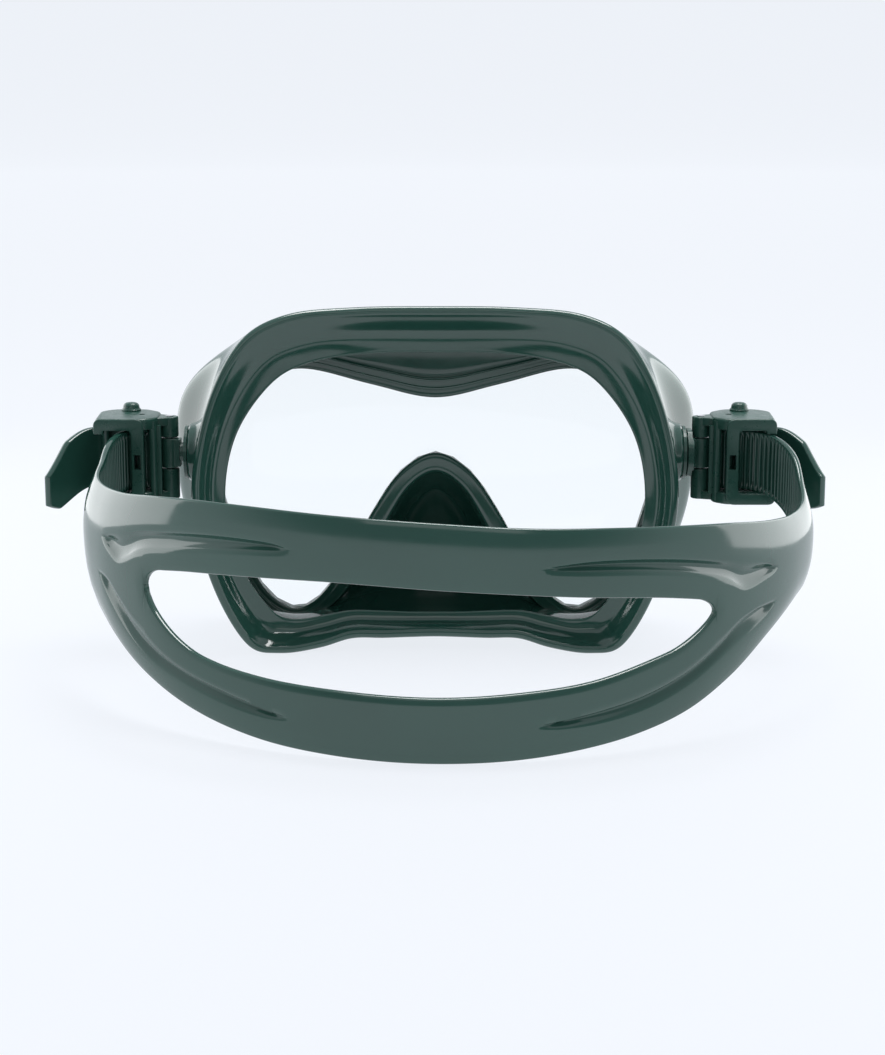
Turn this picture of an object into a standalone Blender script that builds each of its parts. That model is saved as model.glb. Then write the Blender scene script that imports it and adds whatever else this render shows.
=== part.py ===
"""Single-lens diving mask with a split head strap: silicone skirt, glass lens, swivel buckles and strap.

Lengths are in millimetres in the mask's own frame and become metres where a mesh is made. In that frame X runs
across the face, Y runs forward out of the lens with 0 at the foot of the face flange, and Z is up from the floor.
The empty mask_frame carries everything forward so that the origin is under the middle of the whole object.
"""
import math

import bmesh
import bpy
import numpy as np
from mathutils import Matrix, Vector

MM = 0.001
NAME = "diving_mask"
FORWARD = 17.6  # from the foot of the flange to the middle of the whole object

# Skirt and lens
STATIONS = 14  # key points on half an outline, from the top centre round the temple to the nose
SKIRT_COLUMNS = 2  # columns of the skirt between two stations
SKIRT_ROWS = 3  # rows of the skirt between two key rings
WALL = 2.2
LIP = 1.6
SHOULDER_Y, FRONT_Y = 36.5, 45.0  # rings of the outer face between the bulge and the rim
RIM_BACK_Y = 38.0
RIM_FRONT_Y = 49.2
RIM_LIP = 1.9
LENS_Y = (43.6, 47.0)
FRAME_Y = (40.3, 43.2)
LENS_EDGE = 0.46  # share of the way from the window's edge to the rim's outer edge
LENS_FACE = 0.25  # the same for the lens's flat front face, inside its ground edge
GROUND_EDGE = 0.8  # how far the ground edge slopes back
FRONT_LIP = 0.3
FRAME_EDGE = 0.4
CHANNEL_FLOOR = 0.56

# Swivel
HUB_Y, HUB_Z = 12.0, 60.5
BOSS_X = (70.5, 74.2)
BOSS_RADIUS = 8.6
POST_DISC_X = (74.5, 75.4)
POST_DISC_RADIUS = 8.0
STUD_RADIUS = 3.0
STUD_END_X = 77.0
HUB_X = (75.7, 77.2)
HUB_RADIUS = 7.6
PIN_X = 80.2  # the yaw pin
KNUCKLE_RADIUS = 2.7
KNUCKLE_HALF = 4.5
YAW_PIN_RADIUS = 1.2
FIT = 0.06  # radial clearance of a running fit

# Buckle, seen from above
PLATE_Z = ((46.0, 49.6), (68.4, 72.0))
BUCKLE_OUTLINE = [(83.2, 6.6), (87.0, 2.6), (100.4, 2.6), (102.0, 4.2), (102.0, 19.0), (98.0, 23.0), (88.0, 23.0),
                  (83.2, 18.0)]
BAR_X, BAR_Y = (87.2, 90.8), (2.9, 5.9)
BAR_WINDOW = 2.2  # half the height of the window in the bar
INNER_POST = (84.6, 6.6)
OUTER_POST = (99.4, 12.4)
POST_RADIUS = 1.2
ROLLER = (88.5, 12.5)
ROLLER_RADIUS = 2.0
AXLE_RADIUS = 0.9
LEVER_PIN = (92.7, 19.9)
LEVER_PIN_RADIUS = 1.1
PIN_CAP = [(0, 2.56), (1.6, 2.5), (2.2, 2.25), (2.45, 1.7), (2.6, 0.75), (2.95, 0.5), (2.95, -0.5), (0, -0.5)]
PIN_CAP_HOLE = 1.0  # how far the pin's hole runs up inside its cap
WEB_X, WEB_Y = (83.1, 83.7), (7.2, 16.8)  # thin wall between the swivel and the strap's wrap
LEVER_X, LEVER_Y = (86.6, 101.4), (19.5, 23.2)
LEVER_KNUCKLE = 2.1
PAWL_X, PAWL_TIP_Y = 89.6, 17.5
SPRING_RADIUS, SPRING_WIRE = 1.6, 0.22
SPRING_Z = (56.0, 62.0)
SPRING_TURNS = 4

# Strap
STRAP = 2.2  # thickness
STRAP_Z = (50.0, 68.0)  # at the buckle
LOOP_X, LOOP_Y = 105.0, 105.6  # semi-axes of the strap's loop
LOOP_SHIFT = 4.5  # the loop hangs this far to the right of the mask
SEAM_Y = -30.0  # where the strap's ends meet the head panel
SEAM_GAP = 2.0
ARM_BEND = [(1, SEAM_Y), (1.05, -17), (0.96, -6), (0.68, 2.6), (0.34, 7.0)]  # share of the arm's reach, and y
FLARE = 1.0
ARM_RISE = 0.56  # share of the arm over which it narrows to its width in the buckle
TAIL = [(97, 15.8), (102.5, 13.6), (107, 9.4), (111.2, 3.6), (115.2, -3.0)]
TAIL_DROP = 5.8
TAIL_LEVEL = 0.45  # share of the tail that leaves the buckle level
TAIL_CHAMFER = (1.0, 2.2)  # how much each of the last slices takes off the tail's lower and upper edge
TAIL_SLICES = 3
WINDOW_SLICES, END_SLICES = 36, 7
# The head panel's edges as (degrees round the loop from its back, height)
TOP_EDGE = [(-73.5, 60.9), (-50, 62.8), (-31, 64.7), (-17, 64.2), (0, 62.8), (26, 59.8), (57, 54.1), (73.5, 54.0)]
LOW_EDGE = [(-73.5, 29.5), (-51, 12.8), (-29, 2.9), (0, 0.1), (18, 2.0), (37, 8.6), (55, 22.8), (73.5, 31.5)]
WINDOW_TOP = [(-52, 42.4), (-36, 45.4), (-17, 46.9), (0, 45.6), (17.5, 42.9), (42, 36.6)]
WINDOW_LOW = [(-52, 28.6), (-35, 21.2), (-17, 18.6), (0, 17.8), (20.5, 20.4), (42, 30.0)]
WINDOW_ENDS = {-1: (-50.3, 38.5, 6.5, 22.0), 1: (41.2, 34.2, 6.0, 16.0)}  # angle, height, upper, lower rounding

STEEL = ("steel", (0.62, 0.63, 0.64, 1.0), 0.25, 1.0)
PLASTIC = ("green_plastic", (0.018, 0.068, 0.052, 1.0), 0.28, 0.0)
SILICONE = ("green_silicone", (0.020, 0.070, 0.055, 1.0), 0.22, 0.0)
GLASS = ("clear_glass", (0.90, 0.95, 0.94, 0.25), 0.03, 0.0)

# Half outlines (x, z), one point for each station
FLANGE_EDGE = [(0, 105), (24, 104.8), (44, 103.2), (57.5, 95.4), (67.2, 76), (71.4, 50), (66.4, 24), (57, 3.8),
               (47, 0.6), (35, 2.0), (25.5, 4.7), (16, 4.7), (7.5, 5.0), (0, 5.2)]
OPENING = [(0, 90.4), (20, 90.2), (37, 88.2), (48.5, 82.4), (59, 67), (62.2, 47), (57.8, 27), (49.5, 12.5),
           (42.5, 9.6), (34, 10.4), (26, 11.6), (16.5, 11.4), (8, 11.0), (0, 11.0)]
BULGE = [(0, 97), (24, 97), (47, 95.6), (64.4, 89.6), (78.2, 75.6), (80.6, 54), (76, 31), (63, 9.6),
         (48.5, 3.2), (36, 3.2), (27, 3.6), (18, 3.6), (9, 3.6), (0, 3.6)]
RIM = [(0, 82), (21, 85.4), (43.5, 89.4), (60.5, 83.8), (71.2, 69.5), (73, 50), (68.6, 29), (59, 8.6),
       (46.6, 0.6), (34.4, 4.6), (23.4, 18.6), (15.4, 34.4), (8.4, 45.2), (0, 50)]
WINDOW = [(0, 73), (20, 77.2), (41.5, 82.2), (55.5, 77.6), (65.6, 65.6), (68, 49.6), (63.6, 31), (55.4, 13),
          (46, 5.4), (37.4, 8.8), (28.4, 21.4), (20.2, 36.6), (11.2, 49.6), (0, 55.7)]
FLANGE_Y = [5, 4, -1, -5, -8, -8.5, -5.5, -0.5, 1, 3, 4.5, 5, 5.4, 5.5]
NECK_Y = 17.0
NECK_SHARE = [0.5, 0.5, 0.5, 0.35, 0.12, 0.08, 0.15, 0.3, 0.3, 0.3, 0.3, 0.3, 0.3, 0.3]  # from flange to bulge
BULGE_Y = [29, 29, 29, 30, 32, 32, 31, 30, 30, 32, 38, 47, 54, 56]
# The nose pocket, stations 9 to 13: its nose and its bridge as (x, y, z)
POCKET_NOSE = [(36, 38, 3.0), (27.4, 49, 6.4), (19.4, 62, 10.6), (10.6, 69.5, 12.6), (0, 71.6, 13)]
POCKET_BRIDGE = [(34.8, 46.5, 4.2), (24.6, 50.5, 15), (17, 57, 28.4), (9.4, 63, 36.6), (0, 65.4, 39.6)]

parts = bpy.data.collections.new(NAME)
cutters = bpy.data.collections.new(NAME + "_cutters")


def clear_scene():
    for obj in list(bpy.data.objects):
        bpy.data.objects.remove(obj, do_unlink=True)
    for collection in (parts, cutters):
        bpy.context.scene.collection.children.link(collection)


def material(name, finish):
    slot, colour, roughness, metallic = finish
    made = bpy.data.materials.new(f"{name}_{slot}")
    made.use_nodes = True
    shader = made.node_tree.nodes["Principled BSDF"]
    shader.inputs["Base Color"].default_value = colour
    shader.inputs["Roughness"].default_value = roughness
    shader.inputs["Metallic"].default_value = metallic
    made.diffuse_color = colour
    return made


def mesh_object(name, mesh, collection=parts):
    obj = bpy.data.objects.new(name, mesh)
    collection.objects.link(obj)
    return obj


def as_cutter(obj):
    for collection in list(obj.users_collection):
        collection.objects.unlink(obj)
    cutters.objects.link(obj)
    obj.hide_render = True
    obj.display_type = "WIRE"
    return obj


def boolean(obj, tool, operation):
    modifier = obj.modifiers.new(tool.name, "BOOLEAN")
    modifier.operation = operation
    modifier.solver = "EXACT"
    modifier.object = as_cutter(tool)


def bake(obj):
    """Turns a curve, or a mesh with modifiers, into a plain mesh with its loose caps welded."""
    bpy.context.view_layer.update()
    solid = bpy.data.meshes.new_from_object(obj.evaluated_get(bpy.context.evaluated_depsgraph_get()))
    shell = bmesh.new()
    shell.from_mesh(solid)
    bmesh.ops.remove_doubles(shell, verts=shell.verts, dist=0.00001)
    bmesh.ops.recalc_face_normals(shell, faces=shell.faces)
    shell.to_mesh(solid)
    shell.free()
    name, place = obj.name, obj.matrix_world.copy()
    bpy.data.objects.remove(obj, do_unlink=True)
    baked = mesh_object(name, solid)
    baked.matrix_world = place
    return baked


def finish(obj, look, parent):
    """Gives a part its material and smooth round sides, and hangs it on its parent empty."""
    obj.data.materials.clear()
    obj.data.materials.append(material(obj.name, look))
    obj.data.shade_smooth()
    obj.data.set_sharp_from_angle(angle=math.radians(35))
    hang(obj, parent)


def hang(obj, parent):
    """Parents a part, and the tools of its Booleans, so that its place stays a place in the mask's frame."""
    bpy.context.view_layer.update()
    tools = [modifier.object for modifier in obj.modifiers if modifier.type == "BOOLEAN"]
    for child in [obj] + tools:
        child.parent = parent
        child.matrix_parent_inverse = parent.matrix_world.inverted() @ bpy.data.objects["mask_frame"].matrix_world


def axis_empty(name, place, parent):
    empty = bpy.data.objects.new(name, None)
    empty.empty_display_size = 0.01
    parts.objects.link(empty)
    empty.location = Vector(place) * MM
    if parent:
        hang(empty, parent)
    bpy.context.view_layer.update()
    return empty


def cylinder(name, radius, start, end, segments=24):
    start, end = Vector(start) * MM, Vector(end) * MM
    bpy.ops.mesh.primitive_cylinder_add(vertices=segments, radius=radius * MM, depth=(end - start).length,
                                        location=(start + end) / 2)
    obj = bpy.context.object
    obj.rotation_euler = (end - start).to_track_quat("Z", "Y").to_euler()
    return named(obj, name)


def box(name, x, y, z, round_edge=0.0):
    low, high = Vector((min(x), min(y), min(z))) * MM, Vector((max(x), max(y), max(z))) * MM
    bpy.ops.mesh.primitive_cube_add(size=1, location=(low + high) / 2)
    obj = bpy.context.object
    obj.data.transform(Matrix.Diagonal((*(high - low), 1.0)))
    if round_edge:
        add_bevel(obj, round_edge)
    return named(obj, name)


def named(obj, name):
    obj.name = name
    for collection in list(obj.users_collection):
        collection.objects.unlink(obj)
    parts.objects.link(obj)
    return obj


def add_bevel(obj, width, segments=2):
    modifier = obj.modifiers.new("rounded", "BEVEL")
    modifier.width = width * MM
    modifier.segments = segments
    modifier.limit_method = "ANGLE"
    modifier.angle_limit = math.radians(40)


def plate(name, outline, z, round_edge=0.4):
    """A flat outline (x, y) as thick as z says, with its edges rounded."""
    curve = bpy.data.curves.new(name, "CURVE")
    curve.dimensions = "2D"
    curve.fill_mode = "BOTH"
    curve.extrude = (z[1] - z[0]) / 2 * MM
    spline = curve.splines.new("POLY")
    spline.points.add(len(outline) - 1)
    for point, (x, y) in zip(spline.points, outline):
        point.co = (x * MM, y * MM, 0, 1)
    spline.use_cyclic_u = True
    obj = bpy.data.objects.new(name, curve)
    parts.objects.link(obj)
    obj.location.z = (z[0] + z[1]) / 2 * MM
    baked = bake(obj)
    if round_edge:
        add_bevel(baked, round_edge)
    return baked


def turned(name, profile, foot, steps=24):
    """A profile of (radius, height) turned about an upright axis through foot."""
    mesh = bpy.data.meshes.new(name)
    closed = min(radius for radius, _ in profile) > 0
    edges = [(i, i + 1) for i in range(len(profile) - 1)] + ([(len(profile) - 1, 0)] if closed else [])
    mesh.from_pydata([(radius * MM, 0, height * MM) for radius, height in profile], edges, [])
    obj = mesh_object(name, mesh)
    obj.location = Vector(foot) * MM
    screw = obj.modifiers.new("turned", "SCREW")
    screw.steps = screw.render_steps = steps
    screw.use_merge_vertices = True
    screw.merge_threshold = 0.00001
    return bake(obj)


def grid_solid(name, rings, closed_rows=True):
    """A closed body from rings of points. closed_rows joins the last ring to the first, or else both are capped."""
    shape = bmesh.new()
    rows = [[shape.verts.new(Vector(point) * MM) for point in ring] for ring in rings]
    count = len(rows[0])
    for i in range(len(rows) if closed_rows else len(rows) - 1):
        a, b = rows[i], rows[(i + 1) % len(rows)]
        for j in range(count):
            k = (j + 1) % count
            shape.faces.new((a[j], a[k], b[k], b[j]))
    if not closed_rows:
        shape.faces.new(rows[0])
        shape.faces.new(rows[-1])
    bmesh.ops.recalc_face_normals(shape, faces=shape.faces)
    mesh = bpy.data.meshes.new(name)
    shape.to_mesh(mesh)
    shape.free()
    return mesh_object(name, mesh)


def spline_points(keys, parts_each, ends=None):
    """Points on the Catmull-Rom curve through keys; ends gives the points beyond the first and the last."""
    keys = [Vector(key) for key in keys]
    first, last = ends if ends else (keys[0] * 2 - keys[1], keys[-1] * 2 - keys[-2])
    path = [Vector(first)] + keys + [Vector(last)]
    points = []
    for i in range(1, len(path) - 2):
        a, b, c, d = path[i - 1:i + 3]
        for step in range(parts_each):
            t = step / parts_each
            points.append(0.5 * (2 * b + (c - a) * t + (2 * a - 5 * b + 4 * c - d) * t * t
                                 + (3 * b - a - 3 * c + d) * t ** 3))
    return points + [keys[-1]]


def mirror_point(point):
    return Vector((-point[0], point[1], point[2]))


def whole_ring(half):
    """A smooth closed ring from half a ring of stations (x, y, z), the other half its mirror image."""
    half = [Vector(point) for point in half]
    ends = (mirror_point(half[1]), mirror_point(half[-2]))
    right = spline_points(half, SKIRT_COLUMNS, ends)
    return right + [mirror_point(point) for point in reversed(right[1:-1])]


def at_depth(outline, depth):
    """An outline (x, z) as points (x, y, z), with one depth or one for each station."""
    depths = depth if isinstance(depth, list) else [depth] * STATIONS
    return [Vector((x, y, z)) for (x, z), y in zip(outline, depths)]


def between(a, b, share):
    return [p.lerp(q, share) for p, q in zip(a, b)]


def rim_ring(share, depth):
    """A ring in the lens rim: share 0 is the window's edge and 1 the rim's outer edge."""
    shares = share if isinstance(share, list) else [share] * STATIONS
    return [p.lerp(q, part) for p, q, part in zip(at_depth(WINDOW, depth), at_depth(RIM, depth), shares)]


def by_nose(elsewhere, nose):
    """One value for each station: elsewhere round the lens, and another where the rim is the nose pocket's mouth."""
    count = len(POCKET_NOSE) - 1
    return [elsewhere] * (STATIONS - count - 1) + [(elsewhere + nose) / 2] + [nose] * count


def outer_skin():
    """Key rings of the skirt's outer face, from the flange's edge to the front of the rim."""
    edge = at_depth(FLANGE_EDGE, FLANGE_Y)
    bulge = at_depth(BULGE, BULGE_Y)
    rim = at_depth(RIM, RIM_FRONT_Y)
    neck = [p.lerp(q, share) for p, q, share in zip(edge, bulge, NECK_SHARE)]
    for point in neck:
        point.y = NECK_Y
    shoulder = between(bulge, rim, 0.34)
    front = between(bulge, rim, 0.9)
    for point in shoulder:
        point.y = SHOULDER_Y
    for point in front:
        point.y = FRONT_Y
    first = STATIONS - len(POCKET_NOSE)
    for i, (nose, bridge) in enumerate(zip(POCKET_NOSE, POCKET_BRIDGE)):
        shoulder[first + i] = Vector(nose)
        front[first + i] = Vector(bridge)
    return [edge, neck, bulge, shoulder, front, rim]


def inset(rings, distance):
    """The same grid of rings, moved inwards off its face by the distance."""
    moved = []
    count = len(rings[0])
    for i, ring in enumerate(rings):
        before, after = rings[max(i - 1, 0)], rings[min(i + 1, len(rings) - 1)]
        line = []
        for j, point in enumerate(ring):
            along = after[j] - before[j]
            around = ring[(j + 1) % count] - ring[j - 1]
            line.append(point + along.cross(around).normalized() * distance)
        moved.append(line)
    return moved


def make_skirt():
    keys = [whole_ring(ring) for ring in outer_skin()]
    columns = [spline_points(line, SKIRT_ROWS) for line in zip(*keys)]
    outer = [list(ring) for ring in zip(*columns)]
    inner = inset(outer, WALL)
    neck_row, shoulder_row, front_row = 2, 3 * SKIRT_ROWS, 4 * SKIRT_ROWS
    mouth = whole_ring(rim_ring(by_nose(CHANNEL_FLOOR, 1.4), by_nose(RIM_BACK_Y - 0.2, 43.0)))
    nose_share = [point.x for point in whole_ring(at_depth([(value, 0) for value in by_nose(0, 1)], 0))]
    ahead = [p.lerp(q, 0.5).lerp(far, min(abs(share), 1))
             for p, q, far, share in zip(inner[shoulder_row], mouth, inner[front_row], nose_share)]
    edge = at_depth(FLANGE_EDGE, FLANGE_Y)
    opening = at_depth(OPENING, [y + 7.5 for y in FLANGE_Y])
    crease = between(edge, opening, 0.3)
    for point in crease:
        point.y -= 0.6
    tip_front = [Vector((p.x, p.y + LIP, p.z)) for p in opening]
    root_front = [p.lerp(q, 0.45) + Vector((0, LIP, 0)) for p, q in zip(edge, opening)]
    flange = [whole_ring(ring) for ring in (crease, between(edge, opening, 0.65), opening, tip_front, root_front)]
    back_lip = [whole_ring(rim_ring(share, depth)) for share, depth in (
        (by_nose(0.5, 1.1), RIM_BACK_Y), (0.0, RIM_BACK_Y + 0.5), (0.0, RIM_BACK_Y + RIM_LIP),
        (CHANNEL_FLOOR, FRAME_Y[0] - 0.3))]
    front_lip = [whole_ring(rim_ring(share, depth)) for share, depth in (
        (CHANNEL_FLOOR, LENS_Y[1] + 0.3), (FRONT_LIP, LENS_Y[1] + 0.3), (FRONT_LIP, RIM_FRONT_Y))]
    inside = inner[neck_row:shoulder_row + 1] + [ahead, mouth]
    skirt = grid_solid("skirt", outer + front_lip[::-1] + back_lip[::-1] + inside[::-1] + flange[::-1])
    for side, word in ((1, "right"), (-1, "left")):
        boss = cylinder(f"{word}_boss", BOSS_RADIUS, (side * BOSS_X[0], HUB_Y, HUB_Z),
                        (side * BOSS_X[1], HUB_Y, HUB_Z), 32)
        boolean(skirt, boss, "UNION")
    return skirt


def make_lens():
    """The flat pane, its front edge ground back to lie under the rim's lip."""
    return grid_solid("lens", [whole_ring(rim_ring(share, depth)) for share, depth in (
        (LENS_EDGE, LENS_Y[0]), (LENS_EDGE, LENS_Y[1] - GROUND_EDGE), (LENS_FACE, LENS_Y[1]))], closed_rows=False)


def make_lens_frame():
    return grid_solid("lens_frame", [whole_ring(rim_ring(share, depth)) for share, depth in (
        (0.06, FRAME_Y[0]), (FRAME_EDGE, FRAME_Y[0]), (FRAME_EDGE, FRAME_Y[1]), (0.06, FRAME_Y[1]))])


def smooth_step(t):
    t = min(max(t, 0.0), 1.0)
    return t * t * (3 - 2 * t)


def loop_point(angle, z):
    """A point of the strap's middle surface, with angle 0 at the back and a quarter turn at the right side.

    The sides of the loop lean outwards below their upper edge.
    """
    low, high = panel_edges(angle)
    lean = FLARE * smooth_step((abs(math.degrees(angle)) - 25) / 50) * (high - z) / (high - low)
    across = LOOP_X * math.sin(angle) + math.copysign(lean, angle)
    return Vector((LOOP_SHIFT + across, -LOOP_Y * math.cos(angle), z))


def smooth_curve(keys, x):
    """The height at x on the smooth curve through keys (x, height)."""
    along, height = np.array(keys, float).T
    slope = np.gradient(height, along)
    i = int(np.clip(np.searchsorted(along, x) - 1, 0, len(along) - 2))
    width = along[i + 1] - along[i]
    t = min(max((x - along[i]) / width, 0.0), 1.0)
    ends = height[i] * (1 + 2 * t) * (1 - t) ** 2 + height[i + 1] * t * t * (3 - 2 * t)
    return float(ends + width * t * (1 - t) * (slope[i] * (1 - t) - slope[i + 1] * t))


def panel_edges(angle):
    """The head panel's lowest and highest z at an angle of the loop."""
    return smooth_curve(LOW_EDGE, math.degrees(angle)), smooth_curve(TOP_EDGE, math.degrees(angle))


def window_edges(angle):
    """The head panel's window at an angle of the loop; its two edges meet at its ends and past them."""
    degrees = math.degrees(angle)
    end, height, upper_round, lower_round = WINDOW_ENDS[1 if degrees > 0 else -1]
    inside = max(math.radians(abs(end) - abs(degrees)), 0) * LOOP_Y
    low, high = smooth_curve(WINDOW_LOW, degrees), smooth_curve(WINDOW_TOP, degrees)
    lower = (1 - (1 - min(inside / lower_round, 1)) ** 2) ** 0.5
    upper = (1 - (1 - min(inside / upper_round, 1)) ** 2) ** 0.5
    return height + (low - height) * lower, height + (high - height) * upper


def panel_angles():
    """Slices of the head panel, closer together at the ends of its window."""
    end = math.acos(-(SEAM_Y - SEAM_GAP) / LOOP_Y)
    marks = [-end, math.radians(WINDOW_ENDS[-1][0]), math.radians(WINDOW_ENDS[1][0]), end]
    angles = []
    for (low, high), count in zip(zip(marks, marks[1:]), (END_SLICES, WINDOW_SLICES, END_SLICES)):
        for i in range(count):
            share = i / count
            if count == WINDOW_SLICES:
                share = (1 - math.cos(math.pi * share)) / 2
            angles.append(low + (high - low) * share)
    return angles + [end]


def make_head_strap():
    """The split back panel: an open band with a window, thickened to the strap's thickness."""
    shape = bmesh.new()
    rows = []
    for angle in panel_angles():
        low, high = panel_edges(angle)
        bottom, top = window_edges(angle)
        heights = [low, bottom, top, high] if top - bottom > 0.01 else [low, (bottom + top) / 2, high]
        corners = [shape.verts.new(loop_point(angle, z) * MM) for z in heights]
        rows.append(corners if len(corners) == 4 else [corners[0], corners[1], corners[1], corners[2]])
    for a, b in zip(rows, rows[1:]):
        shape.faces.new((a[0], b[0], b[1], a[1]))
        shape.faces.new((a[2], b[2], b[3], a[3]))
    mesh = bpy.data.meshes.new("head_strap")
    shape.to_mesh(mesh)
    shape.free()
    strap = mesh_object("head_strap", mesh)
    solidify = strap.modifiers.new("thickness", "SOLIDIFY")
    solidify.thickness = STRAP * MM
    solidify.offset = 0
    solidify.use_even_offset = True
    return strap


def seam_angle(side):
    """Where the strap end on a side meets the head panel."""
    return side * (math.pi / 2 - math.asin(-SEAM_Y / LOOP_Y))


def strap_end_path(side):
    """A strap end from its seam, through the buckle and round the roller to its tail, in three runs.

    Both sides are drawn as the right one. The loop hangs to the right, so the left arm reaches out less.
    """
    turn = ROLLER_RADIUS + 0.3 + STRAP / 2
    x, y = ROLLER
    angle = seam_angle(side)
    reach = side * loop_point(angle, panel_edges(angle)[1]).x
    start = x + 1.5
    arm = [(start + (reach - start) * share, depth) for share, depth in ARM_BEND] + [(start, y - turn)]
    wrap = [(x - turn * math.sin(a), y - turn * math.cos(a)) for a in (math.pi * i / 10 for i in range(11))]
    tail = [(x + 2, y + turn)] + TAIL
    lay = [Vector((*point, 0)) for point in arm]
    far = [Vector((*point, 0)) for point in tail]
    return spline_points(lay, 4), [Vector((*point, 0)) for point in wrap], spline_points(far, 4)


def arm_edges(share, side):
    """The strap end's lowest and highest z: share 0 at the seam with the head panel and 1 at the buckle."""
    low, high = panel_edges(seam_angle(side))
    ease = smooth_step(share / ARM_RISE)
    return low + (STRAP_Z[0] - low) * ease, high + (STRAP_Z[1] - high) * ease


def make_strap_end(name, side):
    arm, wrap, tail = strap_end_path(side)
    path = arm[:-1] + wrap + tail[1:]
    rings = []
    for i, point in enumerate(path):
        along = path[min(i + 1, len(path) - 1)] - path[max(i - 1, 0)]
        across = Vector((along.y, -along.x, 0)).normalized() * STRAP / 2
        low, high = arm_edges(i / (len(arm) - 1), side) if i < len(arm) else STRAP_Z
        lean = max(FLARE * (1 - smooth_step(i / (len(arm) - 1) / ARM_RISE)), 0) if i < len(arm) else 0
        past = (i - len(path) + len(tail)) / len(tail)
        drop = TAIL_DROP * smooth_step((past - TAIL_LEVEL) / (1 - TAIL_LEVEL))
        low, high = low - drop, high - drop
        narrowed = max(TAIL_SLICES - (len(path) - 1 - i), 0)
        low += narrowed * TAIL_CHAMFER[0]
        high -= narrowed * TAIL_CHAMFER[1]
        rings.append([(side * ((point + across).x + lean), (point + across).y, low),
                      (side * (point + across).x, (point + across).y, high),
                      (side * (point - across).x, (point - across).y, high),
                      (side * ((point - across).x + lean), (point - across).y, low)])
    return grid_solid(name, rings, closed_rows=False)


def upright(name, radius, place, z, side, segments=20):
    return cylinder(name, radius, (side * place[0], place[1], z[0]), (side * place[0], place[1], z[1]), segments)


def make_side_post(name, side):
    post = cylinder(name, POST_DISC_RADIUS, (side * POST_DISC_X[0], HUB_Y, HUB_Z),
                    (side * POST_DISC_X[1], HUB_Y, HUB_Z), 32)
    stud = cylinder(name + "_stud", STUD_RADIUS, (side * (POST_DISC_X[0] + 0.4), HUB_Y, HUB_Z),
                    (side * STUD_END_X, HUB_Y, HUB_Z), 24)
    boolean(post, stud, "UNION")
    return post


def make_swivel_hub(name, side):
    hub = cylinder(name, HUB_RADIUS, (side * HUB_X[0], HUB_Y, HUB_Z), (side * (HUB_X[1] + 0.9), HUB_Y, HUB_Z), 8)
    bore = cylinder(name + "_bore", STUD_RADIUS + FIT, (side * (HUB_X[0] - 1), HUB_Y, HUB_Z),
                    (side * (STUD_END_X + 0.3), HUB_Y, HUB_Z), 24)
    face = box(name + "_face", (side * HUB_X[1], side * (HUB_X[1] + 5)), (HUB_Y - 12, HUB_Y + 12),
               (HUB_Z + KNUCKLE_HALF + 0.2, HUB_Z + 12))
    low_face = box(name + "_low_face", (side * HUB_X[1], side * (HUB_X[1] + 5)), (HUB_Y - 12, HUB_Y + 12),
                   (HUB_Z - 12, HUB_Z - KNUCKLE_HALF - 0.2))
    neck = box(name + "_neck", (side * (HUB_X[1] - 0.3), side * (PIN_X - 0.6)), (HUB_Y - 2.3, HUB_Y + 2.3),
               (HUB_Z - KNUCKLE_HALF + 0.4, HUB_Z + KNUCKLE_HALF - 0.4))
    knuckle = upright(name + "_knuckle", KNUCKLE_RADIUS, (PIN_X, HUB_Y),
                      (HUB_Z - KNUCKLE_HALF, HUB_Z + KNUCKLE_HALF), side, 24)
    hole = upright(name + "_pin_hole", YAW_PIN_RADIUS + FIT, (PIN_X, HUB_Y), (HUB_Z - 10, HUB_Z + 10), side)
    for tool, operation in ((face, "DIFFERENCE"), (low_face, "DIFFERENCE"), (neck, "UNION"), (knuckle, "UNION"),
                            (bore, "DIFFERENCE"), (hole, "DIFFERENCE")):
        boolean(hub, tool, operation)
    return hub


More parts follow.
